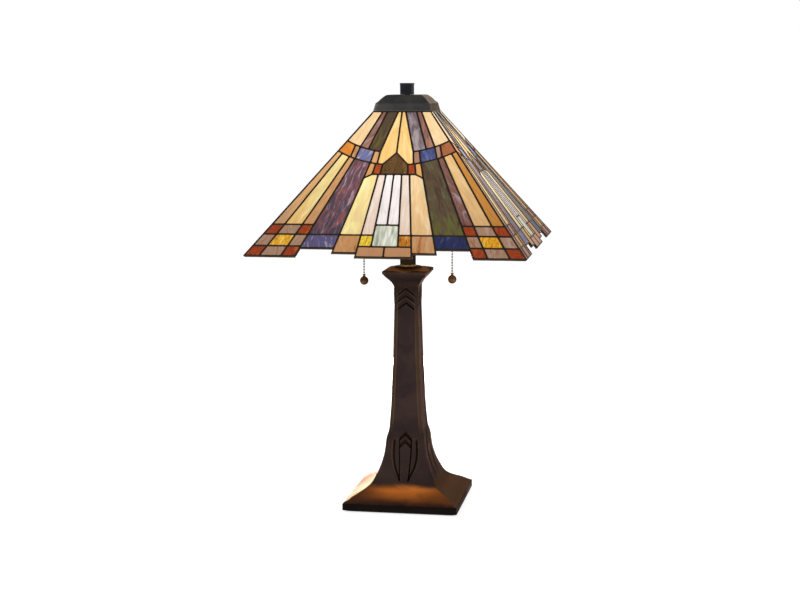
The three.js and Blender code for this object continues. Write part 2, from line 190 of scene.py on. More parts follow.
def maths(tree, operation, *values):
    return put(tree, "Math", dict(enumerate(values)), operation=operation).outputs[0]


def plus(tree, first, second):
    return maths(tree, "ADD", first, second)


def minus(tree, first, second):
    return maths(tree, "SUBTRACT", first, second)


def times(tree, *values):
    """The product of two or more numbers or masks."""
    total = values[0]
    for value in values[1:]:
        total = maths(tree, "MULTIPLY", total, value)
    return total


def ramp(tree, value, low, high, to_low=0.0, to_high=1.0):
    sockets = {"Value": value, "From Min": low, "From Max": high, "To Min": to_low, "To Max": to_high}
    return put(tree, "MapRange", sockets, interpolation_type="SMOOTHSTEP").outputs[0]


def mix(tree, share, first, second, blend="MIX"):
    node = put(tree, "Mix", {0: share, 6: first, 7: second}, data_type="RGBA", blend_type=blend)
    return node.outputs[2]


def grey(tree, value):
    return put(tree, "CombineColor", {0: value, 1: value, 2: value}).outputs[0]


def object_place(tree):
    return put(tree, "TexCoord").outputs["Object"]


def bumps(tree, height, strength, distance):
    sockets = {"Height": height, "Strength": strength, "Distance": distance}
    return put(tree, "Bump", sockets).outputs[0]


def stretched(tree, place, factors):
    return put(tree, "VectorMath", {0: place, 1: factors}, operation="MULTIPLY").outputs[0]


def speckle(tree, place, scale, detail=3.0, distortion=0.0, roughness=0.55):
    sockets = {"Vector": place, "Scale": scale, "Detail": detail, "Roughness": roughness,
               "Distortion": distortion}
    return put(tree, "TexNoise", sockets).outputs["Fac"]


def new_group(name, inputs, outputs):
    group = bpy.data.node_groups.new(name, "ShaderNodeTree")
    for label, kind, value in inputs:
        socket = group.interface.new_socket(label, in_out="INPUT", socket_type=kind)
        if value is not None:
            socket.default_value = value
    for label, kind in outputs:
        group.interface.new_socket(label, in_out="OUTPUT", socket_type=kind)
    return group, group.nodes.new("NodeGroupInput").outputs, group.nodes.new("NodeGroupOutput").inputs


# %% Streaks of opalescent glass
def build_opal_streaks():
    group, given, out = new_group(
        "opal streaks",
        [("Place", VECTOR, None), ("Base", COLOUR, None), ("Streak", COLOUR, None),
         ("Fleck", COLOUR, None), ("Streak share", NUMBER, 0.4), ("Fleck share", NUMBER, 0.2),
         ("Fineness", NUMBER, 1.0)],
        [("Colour", COLOUR), ("Height", NUMBER)],
    )
    place = put(group, "VectorMath", {0: given["Place"], "Scale": given["Fineness"]},
                operation="SCALE").outputs[0]
    bend = put(group, "TexNoise", {"Vector": place, "Scale": 26.0, "Detail": 2.0}).outputs["Color"]
    shift = stretched(group, bend, (0.012, 0.02, 0.0))
    folded = put(group, "VectorMath", {0: place, 1: shift}, operation="ADD").outputs[0]
    broad = speckle(group, stretched(group, folded, (1.0, 0.26, 1.0)), 60, 3, 0.8)
    wisps = speckle(group, stretched(group, folded, (1.0, 0.15, 1.0)), 130, 4, 0.6)
    fine = speckle(group, stretched(group, folded, (1.0, 0.1, 1.0)), 320, 3, 0.3)
    edge = minus(group, 0.72, times(group, given["Streak share"], 0.44))
    streak = ramp(group, broad, edge, plus(group, edge, 0.17))
    edge = minus(group, 0.7, times(group, given["Fleck share"], 0.4))
    fleck = ramp(group, wisps, edge, plus(group, edge, 0.15))
    colour = mix(group, streak, given["Base"], given["Streak"])
    colour = mix(group, fleck, colour, given["Fleck"])
    tone = grey(group, ramp(group, fine, 0.3, 0.7, 0.9, 1.08))
    group.links.new(mix(group, 1.0, colour, tone, "MULTIPLY"), out["Colour"])
    group.links.new(plus(group, broad, times(group, fine, 0.3)), out["Height"])
    return group


OPAL_STREAKS = build_opal_streaks()


# %% Hammered and rippled sheet glass
def build_hammered():
    group, given, out = new_group(
        "hammered sheet",
        [("Place", VECTOR, None), ("Dimple size", NUMBER, 0.0022), ("Draw", NUMBER, 1.0)],
        [("Height", NUMBER), ("Sparkle", NUMBER)],
    )
    flow = put(group, "CombineXYZ", {0: 1.0, 1: given["Draw"], 2: 1.0}).outputs[0]
    place = stretched(group, given["Place"], flow)
    scale = maths(group, "DIVIDE", 1.0, given["Dimple size"])
    cells = put(group, "TexVoronoi", {"Vector": place, "Scale": scale, "Randomness": 1.0},
                feature="SMOOTH_F1").outputs["Distance"]
    soft = speckle(group, place, times(group, scale, 0.6), 2, 0.6)
    height = plus(group, cells, times(group, soft, 0.7))
    group.links.new(height, out["Height"])
    group.links.new(ramp(group, height, 0.4, 1.1, 1.22, 0.74), out["Sparkle"])
    return group


HAMMERED = build_hammered()


# %% Glow of the bulbs through the glass
BULBS = ((0.064, 0, 0.5), (-0.064, 0, 0.5))


def build_bulb_glow():
    group, given, out = new_group(
        "bulb glow", [("Place", VECTOR, None), ("Reach", NUMBER, 0.1)], [("Mask", NUMBER)]
    )
    total = None
    for bulb in BULBS:
        away = put(group, "VectorMath", {0: given["Place"], 1: bulb}, operation="DISTANCE").outputs["Value"]
        share = maths(group, "DIVIDE", away, given["Reach"])
        near = maths(group, "DIVIDE", 1.0, plus(group, 1.0, times(group, share, share)))
        total = near if total is None else plus(group, total, near)
    group.links.new(total, out["Mask"])
    return group


BULB_GLOW = build_bulb_glow()


# %% Patina of aged metal
def build_patina():
    group, given, out = new_group(
        "patina",
        [("Place", VECTOR, None), ("Metal", COLOUR, None), ("Tarnish", COLOUR, None),
         ("Rubbed", COLOUR, None), ("Recess", COLOUR, (0.008, 0.005, 0.003, 1)), ("Grain", NUMBER, 220.0),
         ("Wear", NUMBER, 0.5)],
        [("Colour", COLOUR), ("Roughness", NUMBER), ("Height", NUMBER)],
    )
    clouds = speckle(group, given["Place"], times(group, given["Grain"], 0.12), 4, 0.4)
    grain = speckle(group, given["Place"], given["Grain"], 5)
    colour = mix(group, ramp(group, clouds, 0.35, 0.68), given["Metal"], given["Tarnish"])
    edge = put(group, "NewGeometry").outputs["Pointiness"]
    ragged = plus(group, edge, times(group, minus(group, grain, 0.5), 0.05))
    rubbed = times(group, ramp(group, ragged, 0.515, 0.57), given["Wear"])
    colour = mix(group, rubbed, colour, given["Rubbed"])
    colour = mix(group, ramp(group, edge, 0.49, 0.44, 0.0, 0.92), colour, given["Recess"])
    group.links.new(colour, out["Colour"])
    rough = plus(group, ramp(group, clouds, 0.3, 0.7, 0.32, 0.46), times(group, grain, 0.12))
    group.links.new(minus(group, rough, times(group, rubbed, 0.08)), out["Roughness"])
    group.links.new(plus(group, grain, times(group, clouds, 0.6)), out["Height"])
    return group


PATINA = build_patina()
print("node groups:", sorted(group.name for group in bpy.data.node_groups))


# %% [markdown]
# ## Metals
# The castings are bronze-coloured with a dark brown patina that has rubbed through on the ridges. The cap,
# the finial and the neck are blackened. Sockets are spun brass gone dull. All share the patina group and
# differ in its colours, grain and wear.

# %% A metal with patina
METAL_GRAIN_DEPTH = 0.0004


def metal(name, base, tarnish, rubbed, grain=220.0, wear=0.5, metallic=0.9, bump=0.15,
          edge_tint=(1, 1, 1)):
    material, tree, shader = new_material(name)
    finish = put(tree, "Group", {
        "Place": object_place(tree), "Metal": (*base, 1), "Tarnish": (*tarnish, 1),
        "Rubbed": (*rubbed, 1), "Grain": grain, "Wear": wear,
    }, node_tree=PATINA).outputs
    fill(shader, {
        "Base Color": finish["Colour"], "Roughness": finish["Roughness"], "Metallic": metallic,
        "Specular Tint": (*edge_tint, 1),
        "Normal": bumps(tree, finish["Height"], bump, METAL_GRAIN_DEPTH),
    })
    return material


# %% Weathering and painted light on the cast bronze
# Each band is (where it starts, where it is strongest, where it ends), as heights in metres.
REFLECTED_LAMP_BAND, REFLECTION_TAIL_BAND = (0.0125, 0.0285, 0.0395), (0.012, 0.019, 0.037)
HEAD_SHADE_BAND, CAPITAL_HIGHLIGHT_BAND = (0.296, 0.334, 0.3566), (0.3566, 0.3585, 0.362)
PLINTH_EDGE, SIDE_REFLECTION_BAND, SHAFT_FOOT, SHAFT_HEAD = (0.0122, 0.0128), (0.034, 0.046), (0.1, 0.13), (0.29, 0.3)
REFLECTED_LAMP_COLOUR, REFLECTION_TAIL_COLOUR, SIDE_REFLECTION_COLOUR = (1.0, 0.36, 0.07), (0.8, 0.26, 0.05), (0.12, 0.075, 0.04)
CAPITAL_HIGHLIGHT_COLOUR, HEAD_SHADE_COLOUR, EDGE_BLACK = (0.3, 0.17, 0.085), (0.014, 0.007, 0.004), (0.004, 0.0035, 0.0035)
BORDER_BROWN, LIP_HIGHLIGHT_COLOUR, RECESS = (0.075, 0.042, 0.022), (0.16, 0.09, 0.05), (0.012, 0.006, 0.003)


def band_mask(tree, place, foot, peak, top):
    """One where the height is at the peak, falling to nothing at the foot and the top, with ragged edges."""
    height = put(tree, "SeparateXYZ", {0: place}).outputs[2]
    cloud = speckle(tree, stretched(tree, place, (0.5, 0.5, 1.6)), 42, 3, 0.6)
    ragged = plus(tree, height, ramp(tree, cloud, 0.3, 0.7, -0.0015, 0.0015))
    return times(tree, ramp(tree, ragged, foot, peak), ramp(tree, ragged, peak, top, 1.0, 0.0))


def lay_over(material, mask, colour):
    """Covers the base colour of a material with another, as far as a mask lets it."""
    tree = material.node_tree
    socket = tree.nodes["Principled BSDF"].inputs["Base Color"]
    plain = socket.links[0].from_socket
    tree.links.new(mix(tree, mask, plain, (*colour, 1)), socket)


def weather_and_paint_light(material):
    """Painted light: the lamp's reflection on the front of the sweep, the room's on its sides, highlights on
    the capital's top and the relief's lips, shade under the capital; edge and recesses stay black.
    """
    tree = material.node_tree
    place = object_place(tree)
    x, y, z = put(tree, "SeparateXYZ", {0: place}).outputs
    off_middle = maths(tree, "ABSOLUTE", minus(tree, x, 0.004))
    front = ramp(tree, plus(tree, maths(tree, "ABSOLUTE", x), y), -0.0012, 0.0004, 1.0, 0.0)
    middle = ramp(tree, off_middle, 0.012, 0.07, 1.0, 0.12)
    right = ramp(tree, x, -0.06, 0.05, 0.35, 1.0)
    side = minus(tree, 0.75, times(tree, front, 0.75))
    glow = band_mask(tree, place, *REFLECTED_LAMP_BAND)
    # Painted reflection of the lit shade, in copper, on the front of the sweep, strongest in the middle.
    lay_over(material, times(tree, glow, glow, middle, front), REFLECTED_LAMP_COLOUR)
    # The lower, redder tail of that painted reflection, stronger towards the right.
    lay_over(material, times(tree, band_mask(tree, place, *REFLECTION_TAIL_BAND), 0.2, front, right), REFLECTION_TAIL_COLOUR)
    # Painted reflection of the pale room on the sides of the sweep, which are seen edge on.
    lay_over(material, times(tree, ramp(tree, z, *SIDE_REFLECTION_BAND, 1.0, 0.0), side), SIDE_REFLECTION_COLOUR)
    # Painted highlight on the sloping top of the capital.
    lay_over(material, times(tree, band_mask(tree, place, *CAPITAL_HIGHLIGHT_BAND), 0.85), CAPITAL_HIGHLIGHT_COLOUR)
    # Painted shade on the head of the column and the capital's cove, under the capital's rim.
    lay_over(material, times(tree, band_mask(tree, place, *HEAD_SHADE_BAND), 0.6), HEAD_SHADE_COLOUR)
    lay_over(material, ramp(tree, z, *PLINTH_EDGE, 0.93, 0.0), EDGE_BLACK)
    depth = put(tree, "Attribute", attribute_name="relief").outputs["Fac"]
    shaft = times(tree, ramp(tree, z, *SHAFT_FOOT), ramp(tree, z, *SHAFT_HEAD, 1.0, 0.0))
    lay_over(material, times(tree, shaft, ramp(tree, depth, 0.1, 0.8, 0.6, 0.0)), BORDER_BROWN)
    # Painted highlight on the lips of the relief, left out where the panel fades in between 100 and 121 mm.
    lip = times(tree, ramp(tree, depth, 0.05, 0.35), ramp(tree, depth, 0.5, 0.9, 0.5, 0.0))
    plain = maths(tree, "MAXIMUM", ramp(tree, z, 0.121, 0.124), ramp(tree, z, 0.098, 0.1, 1.0, 0.0))
    lay_over(material, times(tree, lip, plain), LIP_HIGHLIGHT_COLOUR)
    lay_over(material, ramp(tree, depth, 1.1, 2.0, 0.0, 0.9), RECESS)


# %% The metals
BROWN_EDGE = (0.42, 0.3, 0.2)
BRONZE = metal("brown patina bronze", (0.05, 0.031, 0.028), (0.031, 0.021, 0.021), (0.13, 0.07, 0.04),
               grain=160, wear=0.4, metallic=0.85, edge_tint=BROWN_EDGE)
weather_and_paint_light(BRONZE)
NECK_BRONZE = metal("dark neck bronze", (0.016, 0.01, 0.008), (0.008, 0.006, 0.005), (0.06, 0.04, 0.026),
                    grain=240, wear=0.3, metallic=0.85, edge_tint=BROWN_EDGE)
CAP_METAL = metal("cap gunmetal", (0.075, 0.074, 0.076), (0.045, 0.047, 0.052), (0.2, 0.18, 0.15),
                  grain=260, wear=0.4, metallic=0.7, edge_tint=(0.75, 0.55, 0.36))
BLACK_METAL = metal("blackened steel", (0.024, 0.029, 0.038), (0.013, 0.015, 0.019), (0.12, 0.12, 0.12),
                    grain=260, wear=0.5, metallic=0.7, edge_tint=(0.5, 0.45, 0.4))
BRASS = metal("dull brass", (0.42, 0.28, 0.12), (0.24, 0.15, 0.07), (0.75, 0.56, 0.3), grain=180, wear=0.6)
STEEL = metal("nickel plate", (0.4, 0.4, 0.4), (0.26, 0.26, 0.27), (0.6, 0.6, 0.6), grain=300, wear=0.3)
IRON = metal("sand cast iron", (0.09, 0.085, 0.08), (0.05, 0.045, 0.04), (0.2, 0.19, 0.18), grain=420,
             wear=0.3, metallic=0.5, bump=0.5)
SOLDER = metal("patinated solder", (0.026, 0.018, 0.013), (0.015, 0.011, 0.008), (0.09, 0.055, 0.035),
               grain=320, wear=0.3, metallic=0.5, bump=0.3, edge_tint=(0.9, 0.7, 0.5))
BALL_BRONZE = metal("polished bronze", (0.17, 0.09, 0.04), (0.08, 0.045, 0.025), (0.5, 0.3, 0.15),
                    grain=260, wear=0.4, metallic=1.0, bump=0.05, edge_tint=BROWN_EDGE)
print("materials so far:", sorted(material.name for material in bpy.data.materials))


# %% Felt, fibre and moulded parts
def matte(name, base, second, scale, bump, depth, roughness=0.85, sheen=0.0):
    material, tree, shader = new_material(name)
    grain = speckle(tree, object_place(tree), scale, 5)
    fill(shader, {
        "Base Color": mix(tree, ramp(tree, grain, 0.35, 0.65), (*base, 1), (*second, 1)),
        "Roughness": ramp(tree, grain, 0.2, 0.8, roughness - 0.08, roughness + 0.08),
        "Normal": bumps(tree, grain, bump, depth), "Sheen Weight": sheen,
    })
    return material


FELT = matte("pressed felt", (0.02, 0.045, 0.028), (0.035, 0.07, 0.045), 900, 0.8, 0.0006, 0.92, 0.4)
FIBRE = matte("vulcanised fibre", (0.5, 0.38, 0.22), (0.38, 0.28, 0.16), 260, 0.3, 0.0003)
PHENOLIC = matte("moulded phenolic", (0.03, 0.024, 0.02), (0.045, 0.036, 0.03), 420, 0.2, 0.0002, 0.5)


# %% [markdown]
# ## Art glass
# Opalescent glass is milky, so it shows its own streaked colour rather than what is behind it, and glows
# where a bulb is near. A real refraction model would be noisy and would hide the streaks. So each sheet is
# an opaque glossy body whose colour also drives a soft emission, masked by the distance to the bulbs. The
# streaks run along each pane, because the pane's own coordinates are stored on its mesh as "streak".

# %% A sheet of art glass
GLOW, GLOW_REACH = 0.5, 0.1
STREAK_DEPTH, DIMPLE_DEPTH, DIMPLE_BUMP = 0.0006, 0.0009, 0.55
TAIL_DRIFT, TAIL_SHARE = 0.2, 0.75


def paint(colour):
    """A colour as it is seen, turned into the linear values that shaders work in."""
    return (*(c ** 2.2 for c in colour), 1)


def art_glass(name, base, streak, fleck, streaks=0.4, flecks=0.2, fineness=1.0, dimple=None, draw=1.0,
              glow=1.0, bump=0.12, tail=None, fade=(0.49, 0.425)):
    """A sheet of glass. A tail is the colour that it fades into lower down, between two heights."""
    material, tree, shader = new_material(name)
    place = put(tree, "Attribute", attribute_name="streak").outputs["Vector"]
    sheet = put(tree, "Group", {
        "Place": place, "Base": paint(base), "Streak": paint(streak), "Fleck": paint(fleck),
        "Streak share": streaks, "Fleck share": flecks, "Fineness": fineness,
    }, node_tree=OPAL_STREAKS).outputs
    colour, height, depth = sheet["Colour"], sheet["Height"], STREAK_DEPTH
    spot = object_place(tree)
    if tail:
        level = put(tree, "SeparateXYZ", {0: spot}).outputs[2]
        drift = times(tree, minus(tree, height, 0.6), TAIL_DRIFT)
        share = ramp(tree, plus(tree, level, drift), *fade)
        colour = mix(tree, times(tree, share, TAIL_SHARE), colour, paint(tail))
    if dimple:
        sockets = {"Place": place, "Dimple size": dimple, "Draw": draw}
        hammer = put(tree, "Group", sockets, node_tree=HAMMERED).outputs
        colour = mix(tree, 1.0, colour, grey(tree, hammer["Sparkle"]), "MULTIPLY")
        height, depth, bump = hammer["Height"], DIMPLE_DEPTH, DIMPLE_BUMP
    lamp = put(tree, "Group", {"Place": spot, "Reach": GLOW_REACH}, node_tree=BULB_GLOW)
    lit = grey(tree, lamp.outputs["Mask"])
    fill(shader, {
        "Base Color": colour, "Roughness": 0.26, "Specular IOR Level": 0.25, "IOR": 1.52,
        "Emission Color": mix(tree, 1.0, colour, lit, "MULTIPLY"), "Emission Strength": GLOW * glow,
        "Normal": bumps(tree, height, bump, depth),
    })
    return material


# %% The kinds of sheet
SHEETS = {
    "cream": art_glass("cream opal", (0.94, 0.79, 0.58), (0.95, 0.84, 0.67), (0.88, 0.69, 0.48), 0.5, 0.2,
                       tail=(0.88, 0.7, 0.47)),
    "honey": art_glass("honey opal", (0.95, 0.76, 0.46), (0.96, 0.83, 0.57), (0.91, 0.66, 0.34), 0.6, 0.2),
    "lemon": art_glass("lemon cream", (0.95, 0.86, 0.58), (0.96, 0.9, 0.6), (0.96, 0.9, 0.76), 0.6, 0.25,
                       glow=1.2, tail=(0.92, 0.78, 0.56)),
    "butter": art_glass("butter opal", (0.93, 0.82, 0.54), (0.95, 0.87, 0.62), (0.9, 0.74, 0.44), 0.5, 0.15,
                        tail=(0.9, 0.69, 0.4)),
    "milk": art_glass("milk white", (0.95, 0.91, 0.9), (0.92, 0.87, 0.85), (0.97, 0.95, 0.93), 0.4, 0.3,
                      glow=1.2),
    "blush": art_glass("blush white", (0.93, 0.85, 0.79), (0.91, 0.81, 0.73), (0.95, 0.9, 0.86), 0.4, 0.3,
                       glow=1.1, tail=(0.9, 0.78, 0.68)),
    "sand": art_glass("sand opal", (0.82, 0.61, 0.4), (0.76, 0.54, 0.36), (0.7, 0.48, 0.34), 0.5, 0.3,
                      1.4, tail=(0.72, 0.52, 0.38)),
    "peach": art_glass("peach opal", (0.86, 0.66, 0.44), (0.87, 0.7, 0.5), (0.8, 0.58, 0.38), 0.5, 0.25,
                       tail=(0.72, 0.55, 0.42)),
    "apricot": art_glass("apricot opal", (0.88, 0.71, 0.48), (0.9, 0.76, 0.55), (0.84, 0.64, 0.42), 0.5,
                         0.2, tail=(0.84, 0.65, 0.45)),
    "cocoa": art_glass("cocoa strip", (0.52, 0.36, 0.31), (0.64, 0.5, 0.47), (0.4, 0.26, 0.24), 0.5, 0.35,
                       1.6, tail=(0.68, 0.5, 0.4), fade=(0.57, 0.535)),
    "dusk": art_glass("dusk brown", (0.5, 0.35, 0.31), (0.68, 0.58, 0.6), (0.38, 0.25, 0.24), 0.5, 0.4, 1.6),
    "moss": art_glass("moss and bark", (0.33, 0.27, 0.2), (0.4, 0.35, 0.18), (0.29, 0.22, 0.23), 0.55, 0.45,
                      1.6, glow=0.8),
    "fern": art_glass("fern and bark", (0.36, 0.3, 0.22), (0.31, 0.22, 0.19), (0.38, 0.37, 0.27), 0.5,
                      0.45, 1.7, glow=0.8, tail=(0.4, 0.4, 0.19), fade=(0.46, 0.425)),
    "storm": art_glass("storm grey", (0.42, 0.36, 0.38), (0.6, 0.54, 0.55), (0.32, 0.26, 0.25), 0.5, 0.4,
                       1.4, tail=(0.68, 0.63, 0.62), fade=(0.575, 0.535)),
    "plum": art_glass("plum mottle", (0.4, 0.29, 0.32), (0.54, 0.33, 0.34), (0.66, 0.57, 0.62), 0.6, 0.42,
                      1.9, glow=0.9, tail=(0.25, 0.24, 0.29), fade=(0.485, 0.435)),
    "iris": art_glass("iris blue", (0.42, 0.43, 0.58), (0.56, 0.46, 0.55), (0.66, 0.62, 0.7), 0.55, 0.45,
                      2.4),
    "cobalt": art_glass("cobalt opal", (0.29, 0.32, 0.5), (0.42, 0.44, 0.62), (0.22, 0.23, 0.38), 0.45, 0.4,
                        2.2),
    "navy": art_glass("navy opal", (0.17, 0.19, 0.34), (0.28, 0.31, 0.47), (0.13, 0.13, 0.24), 0.45, 0.4,
                      1.8),
    "violet": art_glass("violet streaky", (0.35, 0.34, 0.49), (0.62, 0.58, 0.68), (0.4, 0.3, 0.37), 0.5,
                        0.5, 2.6),
    "orange": art_glass("orange opal", (0.84, 0.5, 0.19), (0.9, 0.6, 0.26), (0.74, 0.4, 0.17), 0.5, 0.3, 1.8),
    "rust": art_glass("rust opal", (0.64, 0.38, 0.24), (0.72, 0.48, 0.32), (0.5, 0.29, 0.19), 0.5, 0.4, 1.8),
    "amber": art_glass("amber opal", (0.84, 0.62, 0.36), (0.88, 0.68, 0.42), (0.76, 0.52, 0.28), 0.5, 0.2),
    "toffee": art_glass("toffee amber", (0.78, 0.53, 0.25), (0.84, 0.6, 0.32), (0.68, 0.43, 0.2), 0.4, 0.3),
    "red": art_glass("hammered red", (0.62, 0.25, 0.11), (0.72, 0.34, 0.14), (0.48, 0.15, 0.08), 0.5, 0.3,
                     1.8, dimple=0.0017),
    "gold": art_glass("hammered gold", (0.88, 0.62, 0.14), (0.95, 0.76, 0.3), (0.72, 0.42, 0.08), 0.55, 0.4,
                      1.8, dimple=0.002, draw=0.5, glow=1.1),
    "straw": art_glass("hammered straw", (0.94, 0.8, 0.26), (0.97, 0.88, 0.45), (0.84, 0.62, 0.14), 0.5, 0.4,
                       1.8, dimple=0.002, draw=0.5, glow=1.2),
    "caramel": art_glass("hammered caramel", (0.78, 0.48, 0.16), (0.9, 0.66, 0.3), (0.5, 0.27, 0.08), 0.55,
                         0.5, 2.4, dimple=0.002, draw=0.4),
    "bark": art_glass("hammered bark", (0.38, 0.27, 0.15), (0.48, 0.36, 0.2), (0.3, 0.25, 0.14), 0.5, 0.4,
                      1.6, dimple=0.002, glow=0.8),
    "water": art_glass("rippled water", (0.82, 0.83, 0.75), (0.89, 0.89, 0.84), (0.68, 0.73, 0.62), 0.5, 0.4,
                       dimple=0.0032, draw=0.22, glow=1.1),
    "oat": art_glass("oat opal", (0.78, 0.56, 0.36), (0.8, 0.62, 0.46), (0.6, 0.36, 0.22), 0.5, 0.32, 1.3),
    "fawn": art_glass("fawn opal", (0.66, 0.52, 0.42), (0.72, 0.6, 0.54), (0.6, 0.38, 0.28), 0.5, 0.4, 1.7),
}
print(len(SHEETS), "kinds of sheet glass")


# %% [markdown]
# ## The pattern of a face
# Every face has the same 62 panes. Their long lines fan out from the apex, where the four faces would
# meet, so a point is best given as a share of the face's half width and its reach down from that apex.
# The right half is listed once and mirrored; only the sheets of glass differ between the halves.

# %% Points in a face
SLOPE = math.radians(51.6)
APEX = 649.26
CAP_REACH, HEM_REACH = 70.0, 322.3
UPPER_ARC, LOWER_ARC = 144.0, 165.5
EAVES, WING, BLOCK, CORNER, BORDER = 181.7, 188.4, 268.0, 268.5, 285.0
BLOCK_FOOT, CORNER_ROW, NOTCH, STEP = 304.0, 304.5, 308.2, 315.7
HEM_EDGE = 1.1
HIP_EDGE = 0.6
FACES = ("front", "right", "back", "left")


def half_width(reach):
    return reach * math.cos(SLOPE)


def at(share, reach):
    return (share * half_width(reach), -reach)


def on_arc(share, radius):
    return at(share, radius / math.hypot(1, share * math.cos(SLOPE)))


def hip(reach):
    return (half_width(reach) - HIP_EDGE, -reach)


def hip_on_arc(radius):
    return hip(radius / math.hypot(1, math.cos(SLOPE)))


def tile(outer, inner, high, low):
    return [at(outer, high), at(inner, high), at(inner, low), at(outer, low)]


def strip(outer, inner, low):
    return [on_arc(outer, LOWER_ARC), on_arc(inner, LOWER_ARC), at(inner, low), at(outer, low)]


print("a face is", round(2 * half_width(HEM_REACH)), "mm wide at the hem")


# %% The 62 panes
def right_half():
    """Rows of (zone, glass on the left, glass on the right, outline), from the hip to the middle."""
    u, w = UPPER_ARC, LOWER_ARC
    hem, notch, step = HEM_REACH - HEM_EDGE, NOTCH - HEM_EDGE, STEP - HEM_EDGE
    tip_high, tip_low = on_arc(0.273, u), on_arc(0.261, w)
    rows = [
        ("upper", "cream", "cream", [hip(CAP_REACH), at(0.655, CAP_REACH), on_arc(0.655, u),
                                     on_arc(0.765, u), hip_on_arc(u)]),
        ("upper", "cocoa", "cocoa", [at(0.655, CAP_REACH), at(0.495, CAP_REACH), on_arc(0.495, u),
                                     on_arc(0.655, u)]),
        ("upper", "moss", "storm", [at(0.495, CAP_REACH), at(0.125, CAP_REACH), tip_high,
                                    on_arc(0.375, u), on_arc(0.495, u)]),
        ("upper", "honey", "honey", [at(0.125, CAP_REACH), at(0, CAP_REACH), at(0, u),
                                     on_arc(0.18, w), tip_low, tip_high]),
        ("band", "orange", "rust", [hip_on_arc(u), on_arc(0.765, u), on_arc(0.712, w), hip_on_arc(w)]),
        ("band", "sand", "fawn", [on_arc(0.765, u), on_arc(0.655, u), on_arc(0.622, w),
                                  on_arc(0.712, w)]),
        ("band", "iris", "cobalt", [on_arc(0.655, u), on_arc(0.495, u), on_arc(0.375, u),
                                    on_arc(0.367, w), on_arc(0.5, w), on_arc(0.622, w)]),
        ("band", "sand", "cocoa", [on_arc(0.375, u), tip_high, tip_low, on_arc(0.367, w)]),
        ("band", "amber", "amber", [on_arc(0.367, w), on_arc(0.28, w), at(0.28, EAVES),
                                    at(0.37, WING)]),
        ("band", "red", "red", [on_arc(0.28, w), on_arc(0.18, w), at(0.18, EAVES), at(0.28, EAVES)]),
        ("main", "peach", "toffee", [hip_on_arc(w), on_arc(0.885, w), at(0.885, CORNER),
                                       hip(CORNER)]),
        ("main", "butter", "apricot", strip(0.885, 0.73, CORNER)),
        ("main", "sand", "dusk", strip(0.73, 0.63, CORNER)),
        ("main", "plum", "fern", [on_arc(0.63, w), on_arc(0.5, w), on_arc(0.367, w),
                                  at(0.375, BORDER), at(0.63, BORDER)]),
        ("main", "lemon", "cream", [at(0.37, WING), at(0.28, EAVES), at(0.2, EAVES),
                                    at(0.2, BORDER), at(0.375, BORDER)]),
        ("main", "blush", "blush", tile(0.2, 0.1, EAVES, BORDER)),
        ("main", "milk", "milk", tile(0.1, 0, EAVES, BLOCK)),
        ("border", "violet", "navy", tile(0.63, 0.375, BORDER, notch)),
        ("border", "oat", "oat", tile(0.375, 0.2, BORDER, step)),
        ("border", "straw", "caramel", tile(0.2, 0.1, BORDER, BLOCK_FOOT)),
        ("border", "sand", "sand", tile(0.2, 0, BLOCK_FOOT, hem)),
    ]
    heights = (CORNER, BORDER, CORNER_ROW, hem)
    sheets = (("red", "fawn", "red"), ("fawn", "gold", "fawn"), ("red", "fawn", "red"))
    for high, low, (corner, middle, inner) in zip(heights, heights[1:], sheets):
        rows += [
            ("border", corner, corner, [hip(high), at(0.885, high), at(0.885, low), hip(low)]),
            ("border", middle, middle, tile(0.885, 0.73, high, low)),
            ("border", inner, inner, tile(0.73, 0.63, high, low)),
        ]
    return rows


# %% Both halves of a face
def mirrored(outline):
    return [(-x, y) for x, y in reversed(outline)]


def anticlockwise(outline):
    area = sum(a[0] * b[1] - b[0] * a[1] for a, b in zip(outline, outline[1:] + outline[:1]))
    return outline if area > 0 else outline[::-1]


def face_panes():
    house = [at(0, UPPER_ARC), on_arc(0.18, LOWER_ARC), at(0.18, EAVES)]
    block = [at(0.1, BLOCK), at(0.1, BLOCK_FOOT)]
    panes = [("band", "bark", house + mirrored(house)[:-1]), ("border", "water", block + mirrored(block))]
    for zone, left, right, outline in right_half():
        panes += [(zone, right, outline), (zone, left, mirrored(outline))]
    return [(zone, sheet, anticlockwise(outline)) for zone, sheet, outline in panes]


PANES = face_panes()
print(len(PANES), "panes in a face,", 4 * len(PANES), "in the shade")


# %% [markdown]
# ## Panes
# Each pane is cut from flat sheet, ground at the edge and wrapped in foil, so it is a thin plate with a
# small chamfer. Meshes made in code are surer than modifiers here, because every vertex also carries its
# streak coordinates. A hand-made shade is never quite flat: each pane gets a tiny tilt of its own, so the
# light catches each one differently. At the hips the panes are mitred to meet their neighbours.

# %% Plates of glass
GLASS_TOP, GLASS_FOOT = -0.9, -3.5
CHAMFER, FOIL_GAP, MITRE_GAP, TILT_LIMIT = 0.25, 0.2, 0.25, 0.25


def inset(outline, distance):
    points = [Vector(p) for p in outline]
    moved = []
    for k, point in enumerate(points):
        before = (point - points[k - 1]).normalized()
        after = (points[(k + 1) % len(points)] - point).normalized()
        left, right = Vector((-before.y, before.x)), Vector((-after.y, after.x))
        moved.append(point + (left + right) * (distance / (1 + left.dot(right))))
    return moved


def streak_axis(outline):
    """The grain of a pane: along its longest line where that runs down the face, else straight down."""
    points = [Vector(p) for p in outline]
    edges = [points[(k + 1) % len(points)] - p for k, p in enumerate(points)]
    longest = max(edges, key=lambda edge: edge.length).normalized()
    return longest if abs(longest.y) > 0.7 else Vector((0, -1))


def face_matrix(face):
    return (
        Matrix.Rotation(face * math.pi / 2, 4, "Z")
        @ Matrix.Translation((0, 0, APEX * MM))
        @ Matrix.Rotation(SLOPE, 4, "X")
    )


